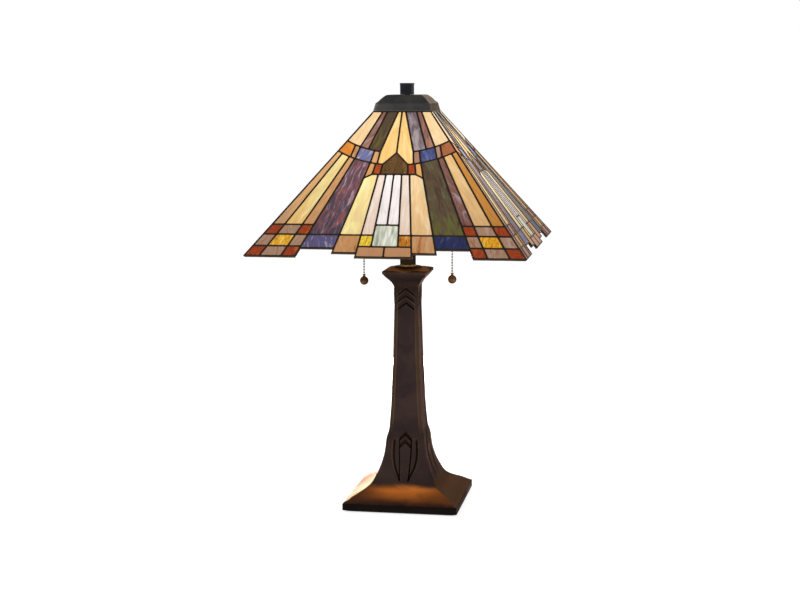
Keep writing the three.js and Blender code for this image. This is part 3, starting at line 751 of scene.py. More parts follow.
def mitred(x, y, depth):
    """Keeps a point of a face on its own side of the mitre plane at the hip."""
    limit = half_width(-y) - MITRE_GAP - math.sin(SLOPE) * depth
    return max(-limit, min(limit, x))


# %% Meshes from rings of points
def join_rings(faces, base, levels, count, ends="open"):
    """Adds the faces between rings of points. The two ends stay open, are capped, or are looped together."""
    for level in range(levels if ends == "looped" else levels - 1):
        low, high = base + level * count, base + (level + 1) % levels * count
        for k in range(count):
            after = (k + 1) % count
            faces.append([low + k, low + after, high + after, high + k])
    if ends == "capped":
        faces.append([base + k for k in reversed(range(count))])
        faces.append([base + (levels - 1) * count + k for k in range(count)])


def shade_smooth(mesh, angle):
    mesh.polygons.foreach_set("use_smooth", [True] * len(mesh.polygons))
    mesh.set_sharp_from_angle(angle=math.radians(angle))


def weld(mesh, distance):
    """Merges points that lie together, and drops the faces that this closes."""
    work = bmesh.new()
    work.from_mesh(mesh)
    bmesh.ops.remove_doubles(work, verts=work.verts, dist=distance)
    work.to_mesh(mesh)
    work.free()


def link_mesh(name, verts, faces, materials, indices=None, smooth_angle=None):
    mesh = bpy.data.meshes.new(name)
    mesh.from_pydata(verts, [], faces)
    for material in materials:
        mesh.materials.append(material)
    if indices is not None:
        mesh.polygons.foreach_set("material_index", indices)
    mesh.validate()
    work = bmesh.new()
    work.from_mesh(mesh)
    bmesh.ops.recalc_face_normals(work, faces=work.faces)
    work.to_mesh(mesh)
    work.free()
    if smooth_angle is not None:
        shade_smooth(mesh, smooth_angle)
    return place_in_scene(name, mesh)


def stand_for(piece, body, node):
    """Lets a piece ride on a body in place of a CAD node, and hides that node."""
    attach(piece, body)
    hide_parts(node)


# %% Laying the panes
def make_panes(zone, face, chance):
    matrix = face_matrix(face)
    verts, faces, indices, streaks, sheets = [], [], [], [], []
    for own_zone, sheet, outline in PANES:
        if own_zone != zone:
            continue
        if sheet not in sheets:
            sheets.append(sheet)
        middle = sum((Vector(p) for p in outline), Vector((0, 0))) / len(outline)
        along = Matrix.Rotation(chance.uniform(-0.15, 0.15), 2) @ streak_axis(outline)
        offset = [chance.uniform(-1, 1) for _ in range(3)]
        tilt = Vector((chance.uniform(-0.006, 0.006), chance.uniform(-0.004, 0.004)))
        base = len(verts)
        rings = ((FOIL_GAP + CHAMFER, GLASS_FOOT), (FOIL_GAP, GLASS_FOOT + CHAMFER),
                 (FOIL_GAP, GLASS_TOP - CHAMFER), (FOIL_GAP + CHAMFER, GLASS_TOP))
        for distance, height in rings:
            for point in inset(outline, distance):
                lift = height + max(-TILT_LIMIT, min(TILT_LIMIT, tilt.dot(point - middle)))
                x = mitred(point.x, point.y, -lift)
                verts.append(matrix @ (Vector((x, point.y, lift)) * MM))
                local = point - middle
                streaks.append((
                    (local.x * along.y - local.y * along.x) * MM + offset[0],
                    local.dot(along) * MM + offset[1],
                    lift * MM + offset[2],
                ))
        join_rings(faces, base, len(rings), len(outline), "capped")
        indices += [sheets.index(sheet)] * (len(faces) - len(indices))
    piece = link_mesh(f"{zone}_panes_{FACES[face]}", verts, faces, [SHEETS[s] for s in sheets], indices)
    attribute = piece.data.attributes.new("streak", "FLOAT_VECTOR", "POINT")
    attribute.data.foreach_set("vector", [c for streak in streaks for c in streak])
    stand_for(piece, "shade", f"glass_{zone}_{FACES[face]}")


PANE_SEED = 62
chance = random.Random(PANE_SEED)
for face in range(4):
    for zone in ("upper", "band", "main", "border"):
        make_panes(zone, face, chance)
print("panes laid in", len(FACES), "faces")


# %% [markdown]
# ## Came
# The panes are joined by soldered foil, which stands up in a low round bead on both sides of the glass.
# Single bars would cross untidily at the joints, and a boolean leaves flat strips. Here every pane makes
# its own half of the beads around it: rings of points that go from the shared crest down to the glass,
# through it and up to the crest on the back. Neighbours meet at the crest and are welded, so a face is
# one closed net. A little noise in place and width gives the hand-run line.

# %% Points along the lines
ON_LINE, OFF_ENDS, ARC_SLACK, CORNER_CUT, LINE_STEP = 0.15, 0.3, 0.5, 1.5, 5.0
CORNER_TURN = math.radians(20)


def shared_arc(a, b):
    """The arc that both ends of an edge lie on, or None where the edge is straight."""
    for radius in (UPPER_ARC, LOWER_ARC):
        if all(abs(math.hypot(*p) - radius) < ARC_SLACK for p in (a, b)):
            return radius
    return None


def between(a, b, share):
    """A point of the line from a to b, which bends about the apex where both lie on an arc."""
    if not shared_arc(a, b):
        return (a[0] + (b[0] - a[0]) * share, a[1] + (b[1] - a[1]) * share)
    angles = [math.atan2(p[1], p[0]) for p in (a, b)]
    radii = [math.hypot(*p) for p in (a, b)]
    angle, radius = (low + (high - low) * share for low, high in (angles, radii))
    return (radius * math.cos(angle), radius * math.sin(angle))


def share_on(a, b, point):
    """Where a point divides the line from a to b, or None where it is off the line."""
    span = Vector(b) - Vector(a)
    share = (Vector(point) - Vector(a)).dot(span) / span.length_squared
    if not OFF_ENDS < share * span.length < span.length - OFF_ENDS:
        return None
    slack = ARC_SLACK if shared_arc(a, b) else ON_LINE
    return share if math.dist(between(a, b, share), point) < slack else None


def with_joints(outline, corners):
    """The outline with each corner of a neighbour that lies on one of its lines, and with arcs bent."""
    result = []
    for a, b in zip(outline, outline[1:] + outline[:1]):
        found = [(share_on(a, b, p), p) for p in corners]
        stops = [a] + [p for share, p in sorted(f for f in found if f[0])] + [b]
        for start, end in zip(stops, stops[1:]):
            bends = max(1, round(math.dist(start, end) / LINE_STEP)) if shared_arc(a, b) else 1
            result += [between(start, end, k / bends) for k in range(bends)]
    return result


def shares_along(length):
    """How far along an edge its points stand: one close to each corner, and evenly spaced ones."""
    if length < 3 * CORNER_CUT:
        return [0, 0.5]
    cut = CORNER_CUT / length
    count = max(1, round((length - 2 * CORNER_CUT) / LINE_STEP))
    return [0] + [cut + (1 - 2 * cut) * k / count for k in range(count + 1)]


def is_corner(outline, k):
    before = Vector(outline[k]) - Vector(outline[k - 1])
    after = Vector(outline[(k + 1) % len(outline)]) - Vector(outline[k])
    return before.angle(after) > CORNER_TURN


# %% The beads of a face
BEAD_HALF, BEAD_RISE = 1.5, 1.15
CREST, BACK_CREST = -0.1, -4.3
BEAD_ANGLES = (0, 28, 56, 90)
WANDER, SWELL, CORNER_FILL = 0.14, 0.16, 0.62
WELD_DISTANCE = 0.002 * MM


def bead_rings():
    """The bead's section as (share of its half width, height), from the front crest to the back one."""
    front = [(math.sin(math.radians(a)), CREST - BEAD_RISE * (1 - math.cos(math.radians(a))))
             for a in BEAD_ANGLES]
    return front + [(share, CREST + BACK_CREST - z) for share, z in reversed(front)]


def wander(point, face):
    """Moves a point as an unsteady hand would: the same shift for the same place in a face."""
    place = (point[0] * 0.09, point[1] * 0.09, face * 7.3)
    shift = noise.noise_vector(place)
    return Vector((point[0] + shift.x * WANDER, point[1] + shift.y * WANDER))


def pane_ring(outline, distance, depth_share, face):
    """One ring of a pane's bead, moved in from the pane's lines, with softly filled corners."""
    moved, ring, corners = inset(outline, distance), [], []
    for k, start in enumerate(outline):
        end = outline[(k + 1) % len(outline)]
        low, high = moved[k], moved[(k + 1) % len(moved)]
        if is_corner(outline, k):
            corners.append(len(ring))
        for share in shares_along(math.dist(start, end)):
            swell = noise.noise((start[0] * 0.05 + share * 3, start[1] * 0.05, face + 40))
            crest = Vector(start).lerp(Vector(end), share)
            ring.append(crest + (low.lerp(high, share) - crest) * (1 + SWELL * swell))
    for corner in corners:
        middle = (ring[corner - 1] + ring[(corner + 1) % len(ring)]) / 2
        ring[corner] = ring[corner].lerp(middle, CORNER_FILL * depth_share)
    return [wander(p, face) for p in ring]


def add_rings(rings, heights, matrix, verts, faces):
    join_rings(faces, len(verts), len(rings), len(rings[0]))
    for ring, height in zip(rings, heights):
        for x, y in ring:
            verts.append(matrix @ (Vector((mitred(x, y, -height), y, height)) * MM))


def rounded(point):
    return (round(point[0], 3), round(point[1], 3))


def edge_loop(outlines):
    """The closed line around a face: the lines that only one pane has, put end to end."""
    after, places = {}, {}
    for outline in outlines:
        points = []
        for start, end in zip(outline, outline[1:] + outline[:1]):
            points += [tuple(Vector(start).lerp(Vector(end), s)) for s in shares_along(math.dist(start, end))]
        for a, b in zip(points, points[1:] + points[:1]):
            places[rounded(a)] = a
            after.setdefault(rounded(a), set()).add(rounded(b))
    edges = {a: b for a, ends in after.items() for b in ends if a not in after.get(b, ())}
    start = next(iter(edges))
    loop, here = [start], edges[start]
    while here != start:
        loop.append(here)
        here = edges[here]
    return [places[p] for p in loop]


# %% A net for each face
def make_net(face):
    corners = sorted({p for _, _, outline in PANES for p in outline})
    outlines = [with_joints(outline, corners) for _, _, outline in PANES]
    section, matrix = bead_rings(), face_matrix(face)
    heights = [z for _, z in section]
    verts, faces = [], []
    for outline in outlines:
        rings = [pane_ring(outline, BEAD_HALF * share, share, face) for share, _ in section]
        add_rings(rings, heights, matrix, verts, faces)
    rim = edge_loop(outlines)
    rings = [[wander(p, face) for p in inset(rim, -HEM_EDGE * share)][::-1] for share, _ in section]
    add_rings(rings, heights, matrix, verts, faces)
    net = link_mesh(f"came_net_{FACES[face]}", verts, faces, [SOLDER])
    weld(net.data, WELD_DISTANCE)
    shade_smooth(net.data, 55)
    stand_for(net, "shade", "came_frame")
    return net


nets = [make_net(face) for face in range(4)]
print("came net:", len(nets[0].data.vertices), "vertices and", len(nets[0].data.polygons), "faces a side")


# %% [markdown]
# ## Hip beads
# Where two faces meet, the solder is run heavier, as a round bead from the cap to the corner of the hem.
# It is a tube of small rings whose radius wanders a little, as molten solder does.

# %% Solder along the hips
HIP_RADIUS, HIP_STEPS = 1.55, 60
HIP_TOP, HIP_FOOT = CAP_REACH + 2, HEM_REACH - 2.5


def around(count):
    """Directions spread evenly over a full turn, as (cosine, sine)."""
    return [(math.cos(2 * math.pi * k / count), math.sin(2 * math.pi * k / count)) for k in range(count)]


def swept_tube(name, path, radii, material, sides=16):
    """A closed tube along points, with a radius at each, and rounded off by its own end rings."""
    points = [Vector(p) for p in path]
    verts, faces = [], []
    normal = None
    for k, point in enumerate(points):
        along = (points[min(k + 1, len(points) - 1)] - points[max(k - 1, 0)]).normalized()
        if normal is None:
            normal = along.orthogonal().normalized()
        normal = (normal - along * normal.dot(along)).normalized()
        cross = along.cross(normal)
        verts += [point + (normal * c + cross * s) * radii[k] for c, s in around(sides)]
    join_rings(faces, 0, len(points), sides, "capped")
    return link_mesh(name, verts, faces, [material], smooth_angle=40)


def make_hip(face):
    depth = HIP_RADIUS / math.sin(SLOPE) + 0.1
    path, radii = [], []
    turn = Matrix.Rotation(face * math.pi / 2, 3, "Z")
    for k in range(HIP_STEPS + 1):
        half = half_width(HIP_TOP + (HIP_FOOT - HIP_TOP) * k / HIP_STEPS)
        height = APEX - half * math.tan(SLOPE)
        path.append(turn @ (Vector((half - depth, depth - half, height)) * MM))
        swell = 1 + 0.1 * noise.noise((k * 0.7, face * 5.1, 0))
        taper = min(1, 0.35 + min(k, HIP_STEPS - k))
        radii.append(HIP_RADIUS * MM * min(1.0, swell * taper))
    stand_for(swept_tube(f"hip_bead_{FACES[face]}", path, radii, SOLDER), "shade", "came_frame")


for face in range(4):
    make_hip(face)
print("hip beads of", HIP_STEPS + 1, "rings each")


# %% [markdown]
# ## Cast column
# Foot and column are one hollow casting with square plan, and its relief is the same on all four sides.
# A subdivision cage would need many hand-placed loops for the chevrons. A ring of points at each height,
# pushed in by a relief function of the place on the side, gives crisp ornament from a few formulas.

# %% Rings of rounded squares
RING = 320
PANEL_DEPTH = 1.0


def soft_step(value):
    t = max(0.0, min(1.0, value))
    return t * t * (3 - 2 * t)


def ring_reach(half, corner, angle):
    """How far a rounded square of this half width reaches from its middle in a direction."""
    turned = abs((angle + math.pi / 4) % (math.pi / 2) - math.pi / 4)
    if half * math.tan(turned) <= half - corner:
        return half / math.cos(turned)
    centre = (half - corner) * math.sqrt(2)
    off = math.pi / 4 - turned
    return centre * math.cos(off) + math.sqrt(max(0, corner**2 - (centre * math.sin(off)) ** 2))


def square_stack(name, levels, material, relief=None, ring=RING, smooth_angle=32, closed=False):
    """Joins rounded squares of (half, height, corner radius); a fourth value lets the relief shape one."""
    verts, faces, depths = [], [], []
    for half, height, corner, *shaped in levels:
        for n in range(ring):
            angle = 2 * math.pi * n / ring
            reach = ring_reach(half, min(corner, half), angle)
            depth = 0.0
            if relief and shaped:
                turned = (angle + math.pi / 4) % (math.pi / 2) - math.pi / 4
                depth = relief(reach * math.sin(turned), height, half)
                reach -= depth / math.cos(turned)
            depths.append(depth)
            verts.append((reach * math.cos(angle) * MM, reach * math.sin(angle) * MM, height * MM))
    join_rings(faces, 0, len(levels), ring, "looped" if closed else "capped")
    piece = link_mesh(name, verts, faces, [material], smooth_angle=smooth_angle)
    if relief:
        piece.data.attributes.new("relief", "FLOAT", "POINT").data.foreach_set("value", depths)
    return piece


def smooth_curve(points, step_at):
    """Levels along (half, height) points, as close as step_at(height) asks, with no bulge between them."""
    heights = [z for _, z in points]
    halves = [h for h, _ in points]
    slopes = [(halves[k + 1] - halves[k]) / (heights[k + 1] - heights[k]) for k in range(len(points) - 1)]
    tangents = [slopes[0]]
    for low, high in zip(slopes, slopes[1:]):
        tangents.append(0 if low * high <= 0 else 2 * low * high / (low + high))
    tangents.append(slopes[-1])
    result = []
    for k in range(len(points) - 1):
        span = heights[k + 1] - heights[k]
        count = max(1, round(span / step_at(heights[k] + span / 2)))
        for n in range(count):
            t = n / count
            value = (
                halves[k] * (2 * t**3 - 3 * t**2 + 1)
                + tangents[k] * span * (t**3 - 2 * t**2 + t)
                + halves[k + 1] * (3 * t**2 - 2 * t**3)
                + tangents[k + 1] * span * (t**3 - t**2)
            )
            result.append((value, heights[k] + span * t))
    return result + [points[-1]]


# %% Relief of the column
HEAD_CHEVRONS, FOOT_CHEVRONS = ((328, 4.0), (317, 9.0), (306, 9.5)), ((106, 6.4), (95, 7.0))
HEAD_SLOPE = 0.72
LEAF_FOOT, LEAF_TOP = 38, 105


def bump_at(value, width):
    return math.exp(-((value / width) ** 2))


def chevrons(across, height, heads, half, slope, deep):
    """Arrow heads that point up: above the edge of each lies a groove, as wide as its span."""
    total = 0.0
    for apex, span in heads:
        above = height + slope * abs(across) - apex
        if 0 < above < span:
            wall = soft_step(above / 0.8) * soft_step((span - above) / 1.2)
            total += deep * wall * (1 - 0.35 * above / span) * soft_step((half - abs(across)) / 1.2)
    return total


def side_leaf(x, height):
    """The sunken leaf beside the spear: a groove along the spear and a curved one around the leaf."""
    rise = (height - LEAF_FOOT) / (LEAF_TOP - LEAF_FOOT)
    if not 0 < rise < 1:
        return 0.0
    spear = 5.6 + 2.6 * min(1, rise * 1.3)
    belly = math.sin(math.pi / 2 * min(1, rise / 0.55)) - 0.22 * max(0, (rise - 0.55) / 0.45) ** 2
    leaf = spear + 1.2 + 12.0 * belly
    if not spear < x < leaf:
        return 0.0
    bowl = 1.2 + 1.5 * bump_at(leaf - 1.8 - x, 1.6) + 1.7 * bump_at(x - spear - 1.1, 0.9)
    walls = soft_step((x - spear) / 0.8) * soft_step((leaf - x) / 0.8)
    return bowl * walls * soft_step(rise / 0.06) * soft_step((1 - rise) / 0.12)


def column_relief(across, height, half):
    x = abs(across)
    under = HEAD_CHEVRONS[-1][0] + 3 - height - HEAD_SLOPE * x
    panel = soft_step((half - 4.4 - x) / 0.7) * soft_step((height - 100) / 20) * soft_step(under / 2)
    depth = PANEL_DEPTH * panel + side_leaf(x, height)
    depth += chevrons(across, height, HEAD_CHEVRONS, 14.0, HEAD_SLOPE, 1.9)
    depth += chevrons(across, height, FOOT_CHEVRONS, 9.9, 0.95, 2.3)
    return depth


def column_step(height):
    if height < LEAF_FOOT:
        return 1.6
    return 0.7 if height < LEAF_TOP + 8 or height > 296 else 2.5


# %% Column and capital
FOOT_EDGE = [(85.7, COLUMN_FOOT / MM), (86.4, COLUMN_FOOT / MM + 0.4), (86.6, COLUMN_FOOT / MM + 1.2),
             (86.6, 4), (86.6, 6), (86.6, 8), (86.6, 10), (86.6, 11.2), (86.4, 12.1), (85.8, 12.8)]
SWEEP = [(84.9, 13.2), (84.2, 13.5), (72, 21.2), (57, 29.2), (49.2, 36.2), (45.2, 43), (43.3, 47), (40.9, 52),
         (37.2, 61), (34.4, 70), (32.2, 79), (30.9, 88), (30.0, 97), (29.3, 102)]
SHAFT = [(28.0, 107), (26.6, 111.5), (25.7, 116), (25.2, 121), (23.8, 139), (22.7, 157), (22.1, 175),
         (21.2, 200), (20.4, 215), (19.6, 240), (19, 265), (18.4, 290), (18.0, 304), (18.4, 313),
         (18.6, 322), (18.6, 333)]
HOLLOW = [(13.6, 333), (14.1, 300), (15.6, 235), (17.5, 165), (19.6, 129), (23, 108), (26, 82), (29.5, 68),
          (36, 52), (42, 35), (54, 25), (69, 17.5), (82.5, 9), (82.5, COLUMN_FOOT / MM)]


def make_column():
    outside = [(half, z, 1.2, True) for half, z in FOOT_EDGE]
    outside += [(half, z, 1.6, True) for half, z in smooth_curve(SWEEP + SHAFT, column_step)]
    inside = [(half, z, 1.2) for half, z in HOLLOW]
    column = square_stack("cast_column", outside + inside, BRONZE, relief=column_relief, closed=True)
    stand_for(column, "stand", "column_casting")
    return column


def make_capital():
    cove = [(18.7, 333.3), (20.6, 337), (23.4, 341), (27, 345), (30.6, 349), (32.8, 352)]
    edge = [(33.8, 352.6), (34, 353.2), (34, 356), (33.7, 356.5), (33.0, 356.8)]
    slope = [(33 - 12.5 * t, 356.8 + 3.1 * t**0.8) for t in (0.1, 0.3, 0.5, 0.7, 0.9, 1.0)]
    outside = smooth_curve(cove, lambda height: 0.8) + edge + slope
    levels = [(half, z, 1.4) for half, z in outside] + [(5.5, 360, 5.5), (5.5, 333.3, 5.5)]
    capital = square_stack("capital_block", levels, BRONZE, ring=160, closed=True)
    stand_for(capital, "stand", "capital_casting")


column = make_column()
make_capital()
print("column:", len(column.data.vertices), "vertices")


# %% [markdown]
# ## Cap and finial
# The cap is a pressed square vase cap: an upright band with a lip, a step, and a sloping top. The finial
# is a plain square block with a thin lip. Both are rings of rounded squares again, and the cap is a shell
# with a round hole for the rod, because it is seen from below.

# %% Shade cap and finial
CAP_WALL = 1.2


def make_cap():
    bottom = CAP_FOOT / MM
    outside = [
        (43.1, bottom), (43.5, bottom + 0.4), (43.5, bottom + 1.5), (42.9, 597), (41.1, 604.0),
        (40.9, 605.2), (40.2, 606.2), (39.0, 607.0), (38.0, 607.6), (36.6, 609.0), (34.6, 611.2),
        (31.6, 614.1), (28.4, 616.6), (26.8, 617.5), (24.6, 617.9),
    ]
    levels = [(half, z, 2.2) for half, z in outside] + [(5.8, 617.9, 5.8), (5.8, 617.9 - CAP_WALL, 5.8)]
    levels += [(half - CAP_WALL, z - CAP_WALL, 1.6) for half, z in reversed(outside[3:])]
    levels.append((43.1 - CAP_WALL, bottom, 1.6))
    cap = square_stack("shade_vase_cap", levels, CAP_METAL, ring=160, closed=True)
    stand_for(cap, "shade", "shade_cap")


def make_finial():
    low, high = (corner[2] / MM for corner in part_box("finial"))
    levels = [(5.6, 629, 5.6), (5.6, low, 5.6)]
    levels += [(8.8, low, 0.7), (9.2, low + 0.4, 0.7), (9.2, 632.4, 0.7), (9.5, 632.8, 0.7)]
    levels += [(9.5, high - 0.5, 0.7), (9.1, high, 0.7)]
    finial = square_stack("finial_block", levels, BLACK_METAL, ring=96)
    stand_for(finial, "finial", "finial")
    print("finial:", round(high - low, 1), "mm high")


make_cap()
make_finial()


# %% [markdown]
# ## Turned fittings
# Neck, sockets, rod and washers are spun or turned, so each is a profile swung round its axis. A Screw
# modifier would do it too, but a small function keeps the profiles readable in one table and places them
# on the tilted socket axes as they are made.

# %% Turned parts
SOCKET_TILT = math.radians(20)
SOCKET_X, SOCKET_Z = 28.0, 404.0
SEGMENTS, POLE_WELD = 48, 1e-7


def turned(name, profile, material, node, body, slot, place=Matrix(), smooth_angle=35, segments=SEGMENTS):
    """Swings (radius, height) points round Z; a profile that leaves the axis at both ends is closed."""
    verts, faces = [], []
    for radius, height in profile:
        verts += [place @ (Vector((radius * c, radius * s, height)) * MM) for c, s in around(segments)]
    on_axis = profile[0][0] == 0
    join_rings(faces, 0, len(profile), segments, "open" if on_axis else "looped")
    piece = link_mesh(name, verts, faces, [material], smooth_angle=smooth_angle)
    weld(piece.data, POLE_WELD)
    stand_for(piece, body, node)


def arc(centre, radius, start, end, count):
    """Points of an arc from one angle to another, in degrees, as (radius, height)."""
    angles = [math.radians(start + (end - start) * k / count) for k in range(count + 1)]
    return [(max(0.0, centre[0] + radius * math.cos(a)), centre[1] + radius * math.sin(a)) for a in angles]


def ring_profile(outer, inner, low, high, edge=0.3):
    return [(inner, low), (outer - edge, low), (outer, low + edge), (outer, high - edge),
            (outer - edge, high), (inner, high)]


def socket_place(side):
    sign = 1 if side == "right" else -1
    shift = Matrix.Translation(Vector((sign * SOCKET_X, 0, SOCKET_Z)) * MM)
    return shift @ Matrix.Rotation(sign * SOCKET_TILT, 4, "Y")


turned("neck_seat_disc", ring_profile(21, 5.5, 360.3, 361.5), NECK_BRONZE, "seat_disc", "stand",
       "black_metal")
turned("neck_ring", [(5.5, 361.8), (12.9, 361.8), *arc((12.9, 362.5), 0.7, -90, 90, 6), (12.4, 363.4),
                     (12.1, 364.2), (5.5, 364.2)], BRASS, "neck_cup", "stand", "brass")
turned("neck_tube", [(10.6, 364.5), (11.7, 364.5), (12, 364.9), (12, 386), (11.6, 387.6), (10.6, 388)],
       NECK_BRONZE, "neck_sleeve", "stand", "black_metal")
turned("support_rod", ring_profile(4.85, 3, 402, 627), BRASS, "shade_rod", "stand", "brass")
turned("shade_seat", ring_profile(14, 5.5, 614.9, 616.3), BRASS, "seat_washer", "seat", "brass")
print("neck, rod and seat are turned with", SEGMENTS, "segments")


# %% [markdown]
# ## Sockets and bulbs
# Each bulb screws into a spun brass socket with an insulating sleeve and a threaded contact shell. The
# bulb's glass could be clear with a lit filament, but a frosted one glows evenly over its whole surface.
# So it is a tinted skin with a gentle emission, kept low enough for its shape to show on a pale ground.

# %% Sockets and bulbs
SOCKET_CAP = [(5.3, 0), (9, 0), (12, 1), (14.4, 2.8), (16.2, 5.2), (17.2, 8), (17.6, 10.5), (17.6, 13),
              (16.6, 13), (16.3, 8.6), (13.2, 3.9), (8.8, 1.5), (5.3, 1.5)]
SOCKET_SHELL = [(16.3, 13.3), (17, 13.3), (17, 50), *arc((17, 51), 0.7, -90, 90, 6), (17, 52.6),
                (17.5, 53.4), (17.7, 54.2), (17.4, 55), (16.3, 55)]
BULB_BASE = [(0, 26.4), (3.6, 26.4), (4.4, 27.4), (9.5, 29.4), (12.2, 31)]
THREAD_TURNS, THREAD_PITCH, THREAD_FOOT = 5, 3.6, 32
THREAD_RADIUS, THREAD_RISE, THREAD_STEPS = 12.85, 0.35, 6
BULB_WALL = 0.9
BULB_GLASS = [(11.5, 51.3), (12, 56), (13.2, 62), (16, 70), (20.5, 79), (25.2, 88), (28.6, 96), (30, 104),
              (29.4, 111), (27, 118), (22.6, 124.6), (16.6, 129.6), (9, 132.9), (0, 134)]


def bulb_thread():
    """The rolled thread of a screw base, as round waves between its crest and root radius."""
    points = []
    for k in range(THREAD_TURNS * THREAD_STEPS + 1):
        turn = k / THREAD_STEPS
        points.append((THREAD_RADIUS + THREAD_RISE * math.cos(2 * math.pi * turn),
                       THREAD_FOOT + THREAD_PITCH * turn))
    return points


def bulb_material():
    material, tree, shader = new_material("lit frosted bulb")
    warm = ramp(tree, speckle(tree, object_place(tree), 900, 3), 0.2, 0.8)
    fill(shader, {
        "Base Color": mix(tree, warm, (0.55, 0.42, 0.24, 1), (0.6, 0.5, 0.34, 1)), "Roughness": 0.35,
        "Emission Color": mix(tree, warm, (1, 0.74, 0.42, 1), (1, 0.82, 0.55, 1)),
        "Emission Strength": 0.4,
    })
    return material


LIT_BULB = bulb_material()
for side in ("right", "left"):
    place = socket_place(side)
    turned(f"spun_cap_{side}", SOCKET_CAP, BRASS, f"socket_cap_{side}", "stand", "brass", place)
    turned(f"spun_shell_{side}", SOCKET_SHELL, BRASS, f"socket_shell_{side}", "stand", "brass", place)
    turned(f"fibre_sleeve_{side}", ring_profile(15.9, 15.1, 13.3, 56.4, 0.1), FIBRE,
           f"socket_liner_{side}", "stand", "fibre", place)
    turned(f"contact_shell_{side}", ring_profile(14.4, 13.9, 25.8, 50, 0.1), BRASS,
           f"screw_shell_{side}", "stand", "brass", place)
    turned(f"bulb_cap_{side}", BULB_BASE + bulb_thread() + [(12.2, 50.4), (11.4, 51), (0, 51)], STEEL,
           f"bulb_base_{side}", f"bulb_{side}", "steel", place)
    shell = [(0, BULB_GLASS[-1][1] - BULB_WALL)]
    shell += [(r - BULB_WALL, z) for r, z in reversed(BULB_GLASS[:-1])] + BULB_GLASS
    turned(f"bulb_envelope_{side}", shell, LIT_BULB, f"bulb_glass_{side}", f"bulb_{side}", "bulb", place,
           smooth_angle=60)


# %% [markdown]
# ## Pull chains
# A ball chain is a row of hollow beads on short wire links. Beads and wire are one turned strand here,
# since they move together. The ball below is a turned bronze drop with a neck, and the nozzle above is a
# bent tube with a flared mouth that the chain runs out of.

# %% Chain nozzles
CHAIN_X, CHAIN_TOP, CHAIN_PITCH = 67.5, 396.8, 4.2
BEADS = {"right": 11, "left": 12}
BEAD_RADIUS, WIRE_RADIUS, BALL_RADIUS = 1.6, 0.45, 6.5
NOZZLE_ROOT, NOZZLE_BEND, NOZZLE_MOUTH, NOZZLE_STEPS = (17.5, 0, 17), 11, 400, 24
NOZZLE_OUTER, NOZZLE_INNER, NOZZLE_COLLAR, NOZZLE_FLARE = 3.7, 2.9, 0.4, 0.5


def bezier(points, t):
    while len(points) > 1:
        points = [a.lerp(b, t) for a, b in zip(points, points[1:])]
    return points[0]


def hollow_tube(name, path, outer, inner, material, sides=28):
    """A tube in the XZ plane, from its outer radii along the path and back along its inner ones."""
    verts, faces = [], []
    rows = [(k, outer[k]) for k in range(len(path))] + [(k, inner[k]) for k in reversed(range(len(path)))]
    for k, radius in rows:
        along = (path[min(k + 1, len(path) - 1)] - path[max(k - 1, 0)]).normalized()
        side = Vector((0, 1, 0))
        up = along.cross(side)
        verts += [path[k] + (side * c + up * s) * radius for c, s in around(sides)]
    join_rings(faces, 0, len(rows), sides, "looped")
    return link_mesh(name, verts, faces, [material], smooth_angle=40)


def make_nozzle(side, sign):
    start = socket_place("right") @ (Vector(NOZZLE_ROOT) * MM)
    outward = Vector((math.cos(SOCKET_TILT), 0, -math.sin(SOCKET_TILT)))
    handles = [start, start + outward * NOZZLE_BEND * MM, Vector((CHAIN_X, 0, NOZZLE_MOUTH + 11)) * MM,
               Vector((CHAIN_X, 0, NOZZLE_MOUTH)) * MM]
    mirror = Matrix.Rotation(0 if sign > 0 else math.pi, 3, "Z")
    path = [mirror @ bezier(handles, k / NOZZLE_STEPS) for k in range(NOZZLE_STEPS + 1)]
    outer = [NOZZLE_OUTER * MM] * len(path)
    for k in (3, 4):
        outer[k] += NOZZLE_COLLAR * MM
    for k in (-3, -2, -1):
        outer[k] += NOZZLE_FLARE * MM
    inner = [NOZZLE_INNER * MM] * len(path)
    nozzle = hollow_tube(f"pull_nozzle_{side}", path, outer, inner, BRASS)
    stand_for(nozzle, "stand", f"chain_nozzle_{side}")


# %% Chains and pull balls
def strand_profile(count):
    bottom = CHAIN_TOP - (count - 1) * CHAIN_PITCH
    points = [(0, bottom - 2.1), (WIRE_RADIUS, bottom - 2.1)]
    for k in reversed(range(count)):
        centre = CHAIN_TOP - k * CHAIN_PITCH
        points += arc((0, centre), BEAD_RADIUS, -73, 73, 10)
    return points + [(WIRE_RADIUS, CHAIN_TOP + 1.58), (0, CHAIN_TOP + 1.6)]


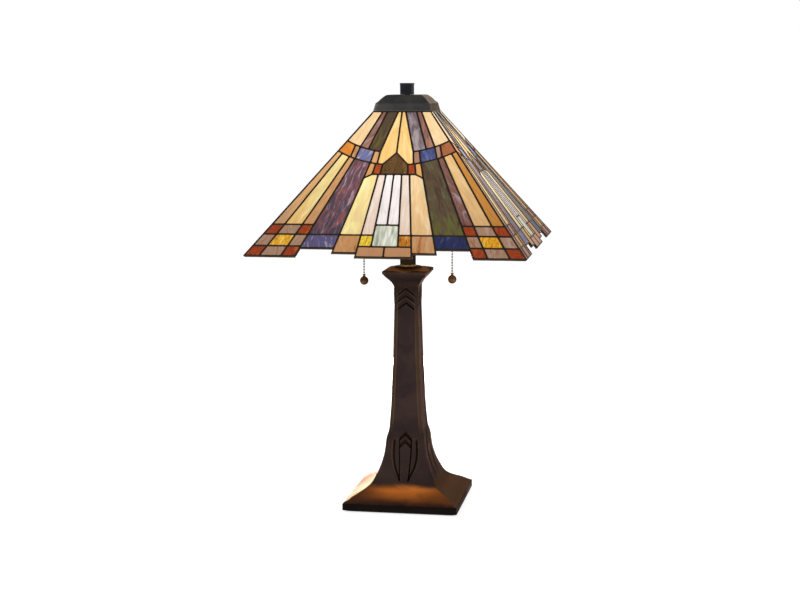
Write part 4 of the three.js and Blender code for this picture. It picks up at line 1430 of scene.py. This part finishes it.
def ball_profile(neck_top):
    centre = neck_top - 10
    ball = arc((0, centre), BALL_RADIUS, -90, 66, 18)
    neck = [(2.5, centre + 6.3), (1.7, centre + 7), (1.6, centre + 7.8), (2.3, centre + 8.2),
            (2.4, centre + 9.2), (1.6, neck_top), (0, neck_top)]
    return ball + neck


LINK = [(0, 399), (0.6, 399.2), (0.9, 400.2), (0.7, 401.2), *arc((0, 402.8), BEAD_RADIUS, -60, 90, 10)]
for side, sign in (("right", 1), ("left", -1)):
    make_nozzle(side, sign)
    over = Matrix.Translation((sign * CHAIN_X * MM, 0, 0))
    turned(f"pull_hook_{side}", LINK, BRASS, f"pull_link_{side}", f"link_{side}", "brass", over,
           segments=20)
    strand = strand_profile(BEADS[side])
    turned(f"ball_chain_{side}", strand, STEEL, f"bead_chain_{side}", f"chain_{side}", "steel", over,
           segments=20)
    turned(f"bronze_drop_{side}", ball_profile(strand[0][1] - 0.3), BALL_BRONZE, f"pull_ball_{side}",
           f"chain_{side}", "bronze", over, segments=40)
    print(side, "chain:", BEADS[side], "beads at", CHAIN_PITCH, "mm")


# %% [markdown]
# ## Underside and hidden parts
# The foot stands on a felt pad. Weight, pipe, nuts and washers are hidden inside and their CAD shapes are
# already right, so they keep their own meshes and only get a finish.

# %% Felt pad and carried-over nodes
def make_felt():
    half, high = 82.0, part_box("felt_pad")[1][2] / MM
    levels = [(half - 0.4, 0, 3), (half, 0.3, 3), (half, high - 0.3, 3), (half - 0.4, high, 3)]
    felt = square_stack("felt_base", levels, FELT, ring=96)
    stand_for(felt, "stand", "felt_pad")


make_felt()
CARRIED = {
    "base_weight": IRON, "bottom_washer": STEEL, "bottom_nut": STEEL, "lamp_pipe": STEEL,
    "cord_bushing": PHENOLIC, "socket_yoke": BRASS, "rod_nut": BRASS,
    "socket_nipple_right": BRASS, "socket_nipple_left": BRASS,
    "switch_body_right": PHENOLIC, "switch_body_left": PHENOLIC,
}
for node, material in CARRIED.items():
    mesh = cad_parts[node].data
    mesh.materials.clear()
    mesh.materials.append(material)
print(len(CARRIED), "CAD nodes keep their shape")
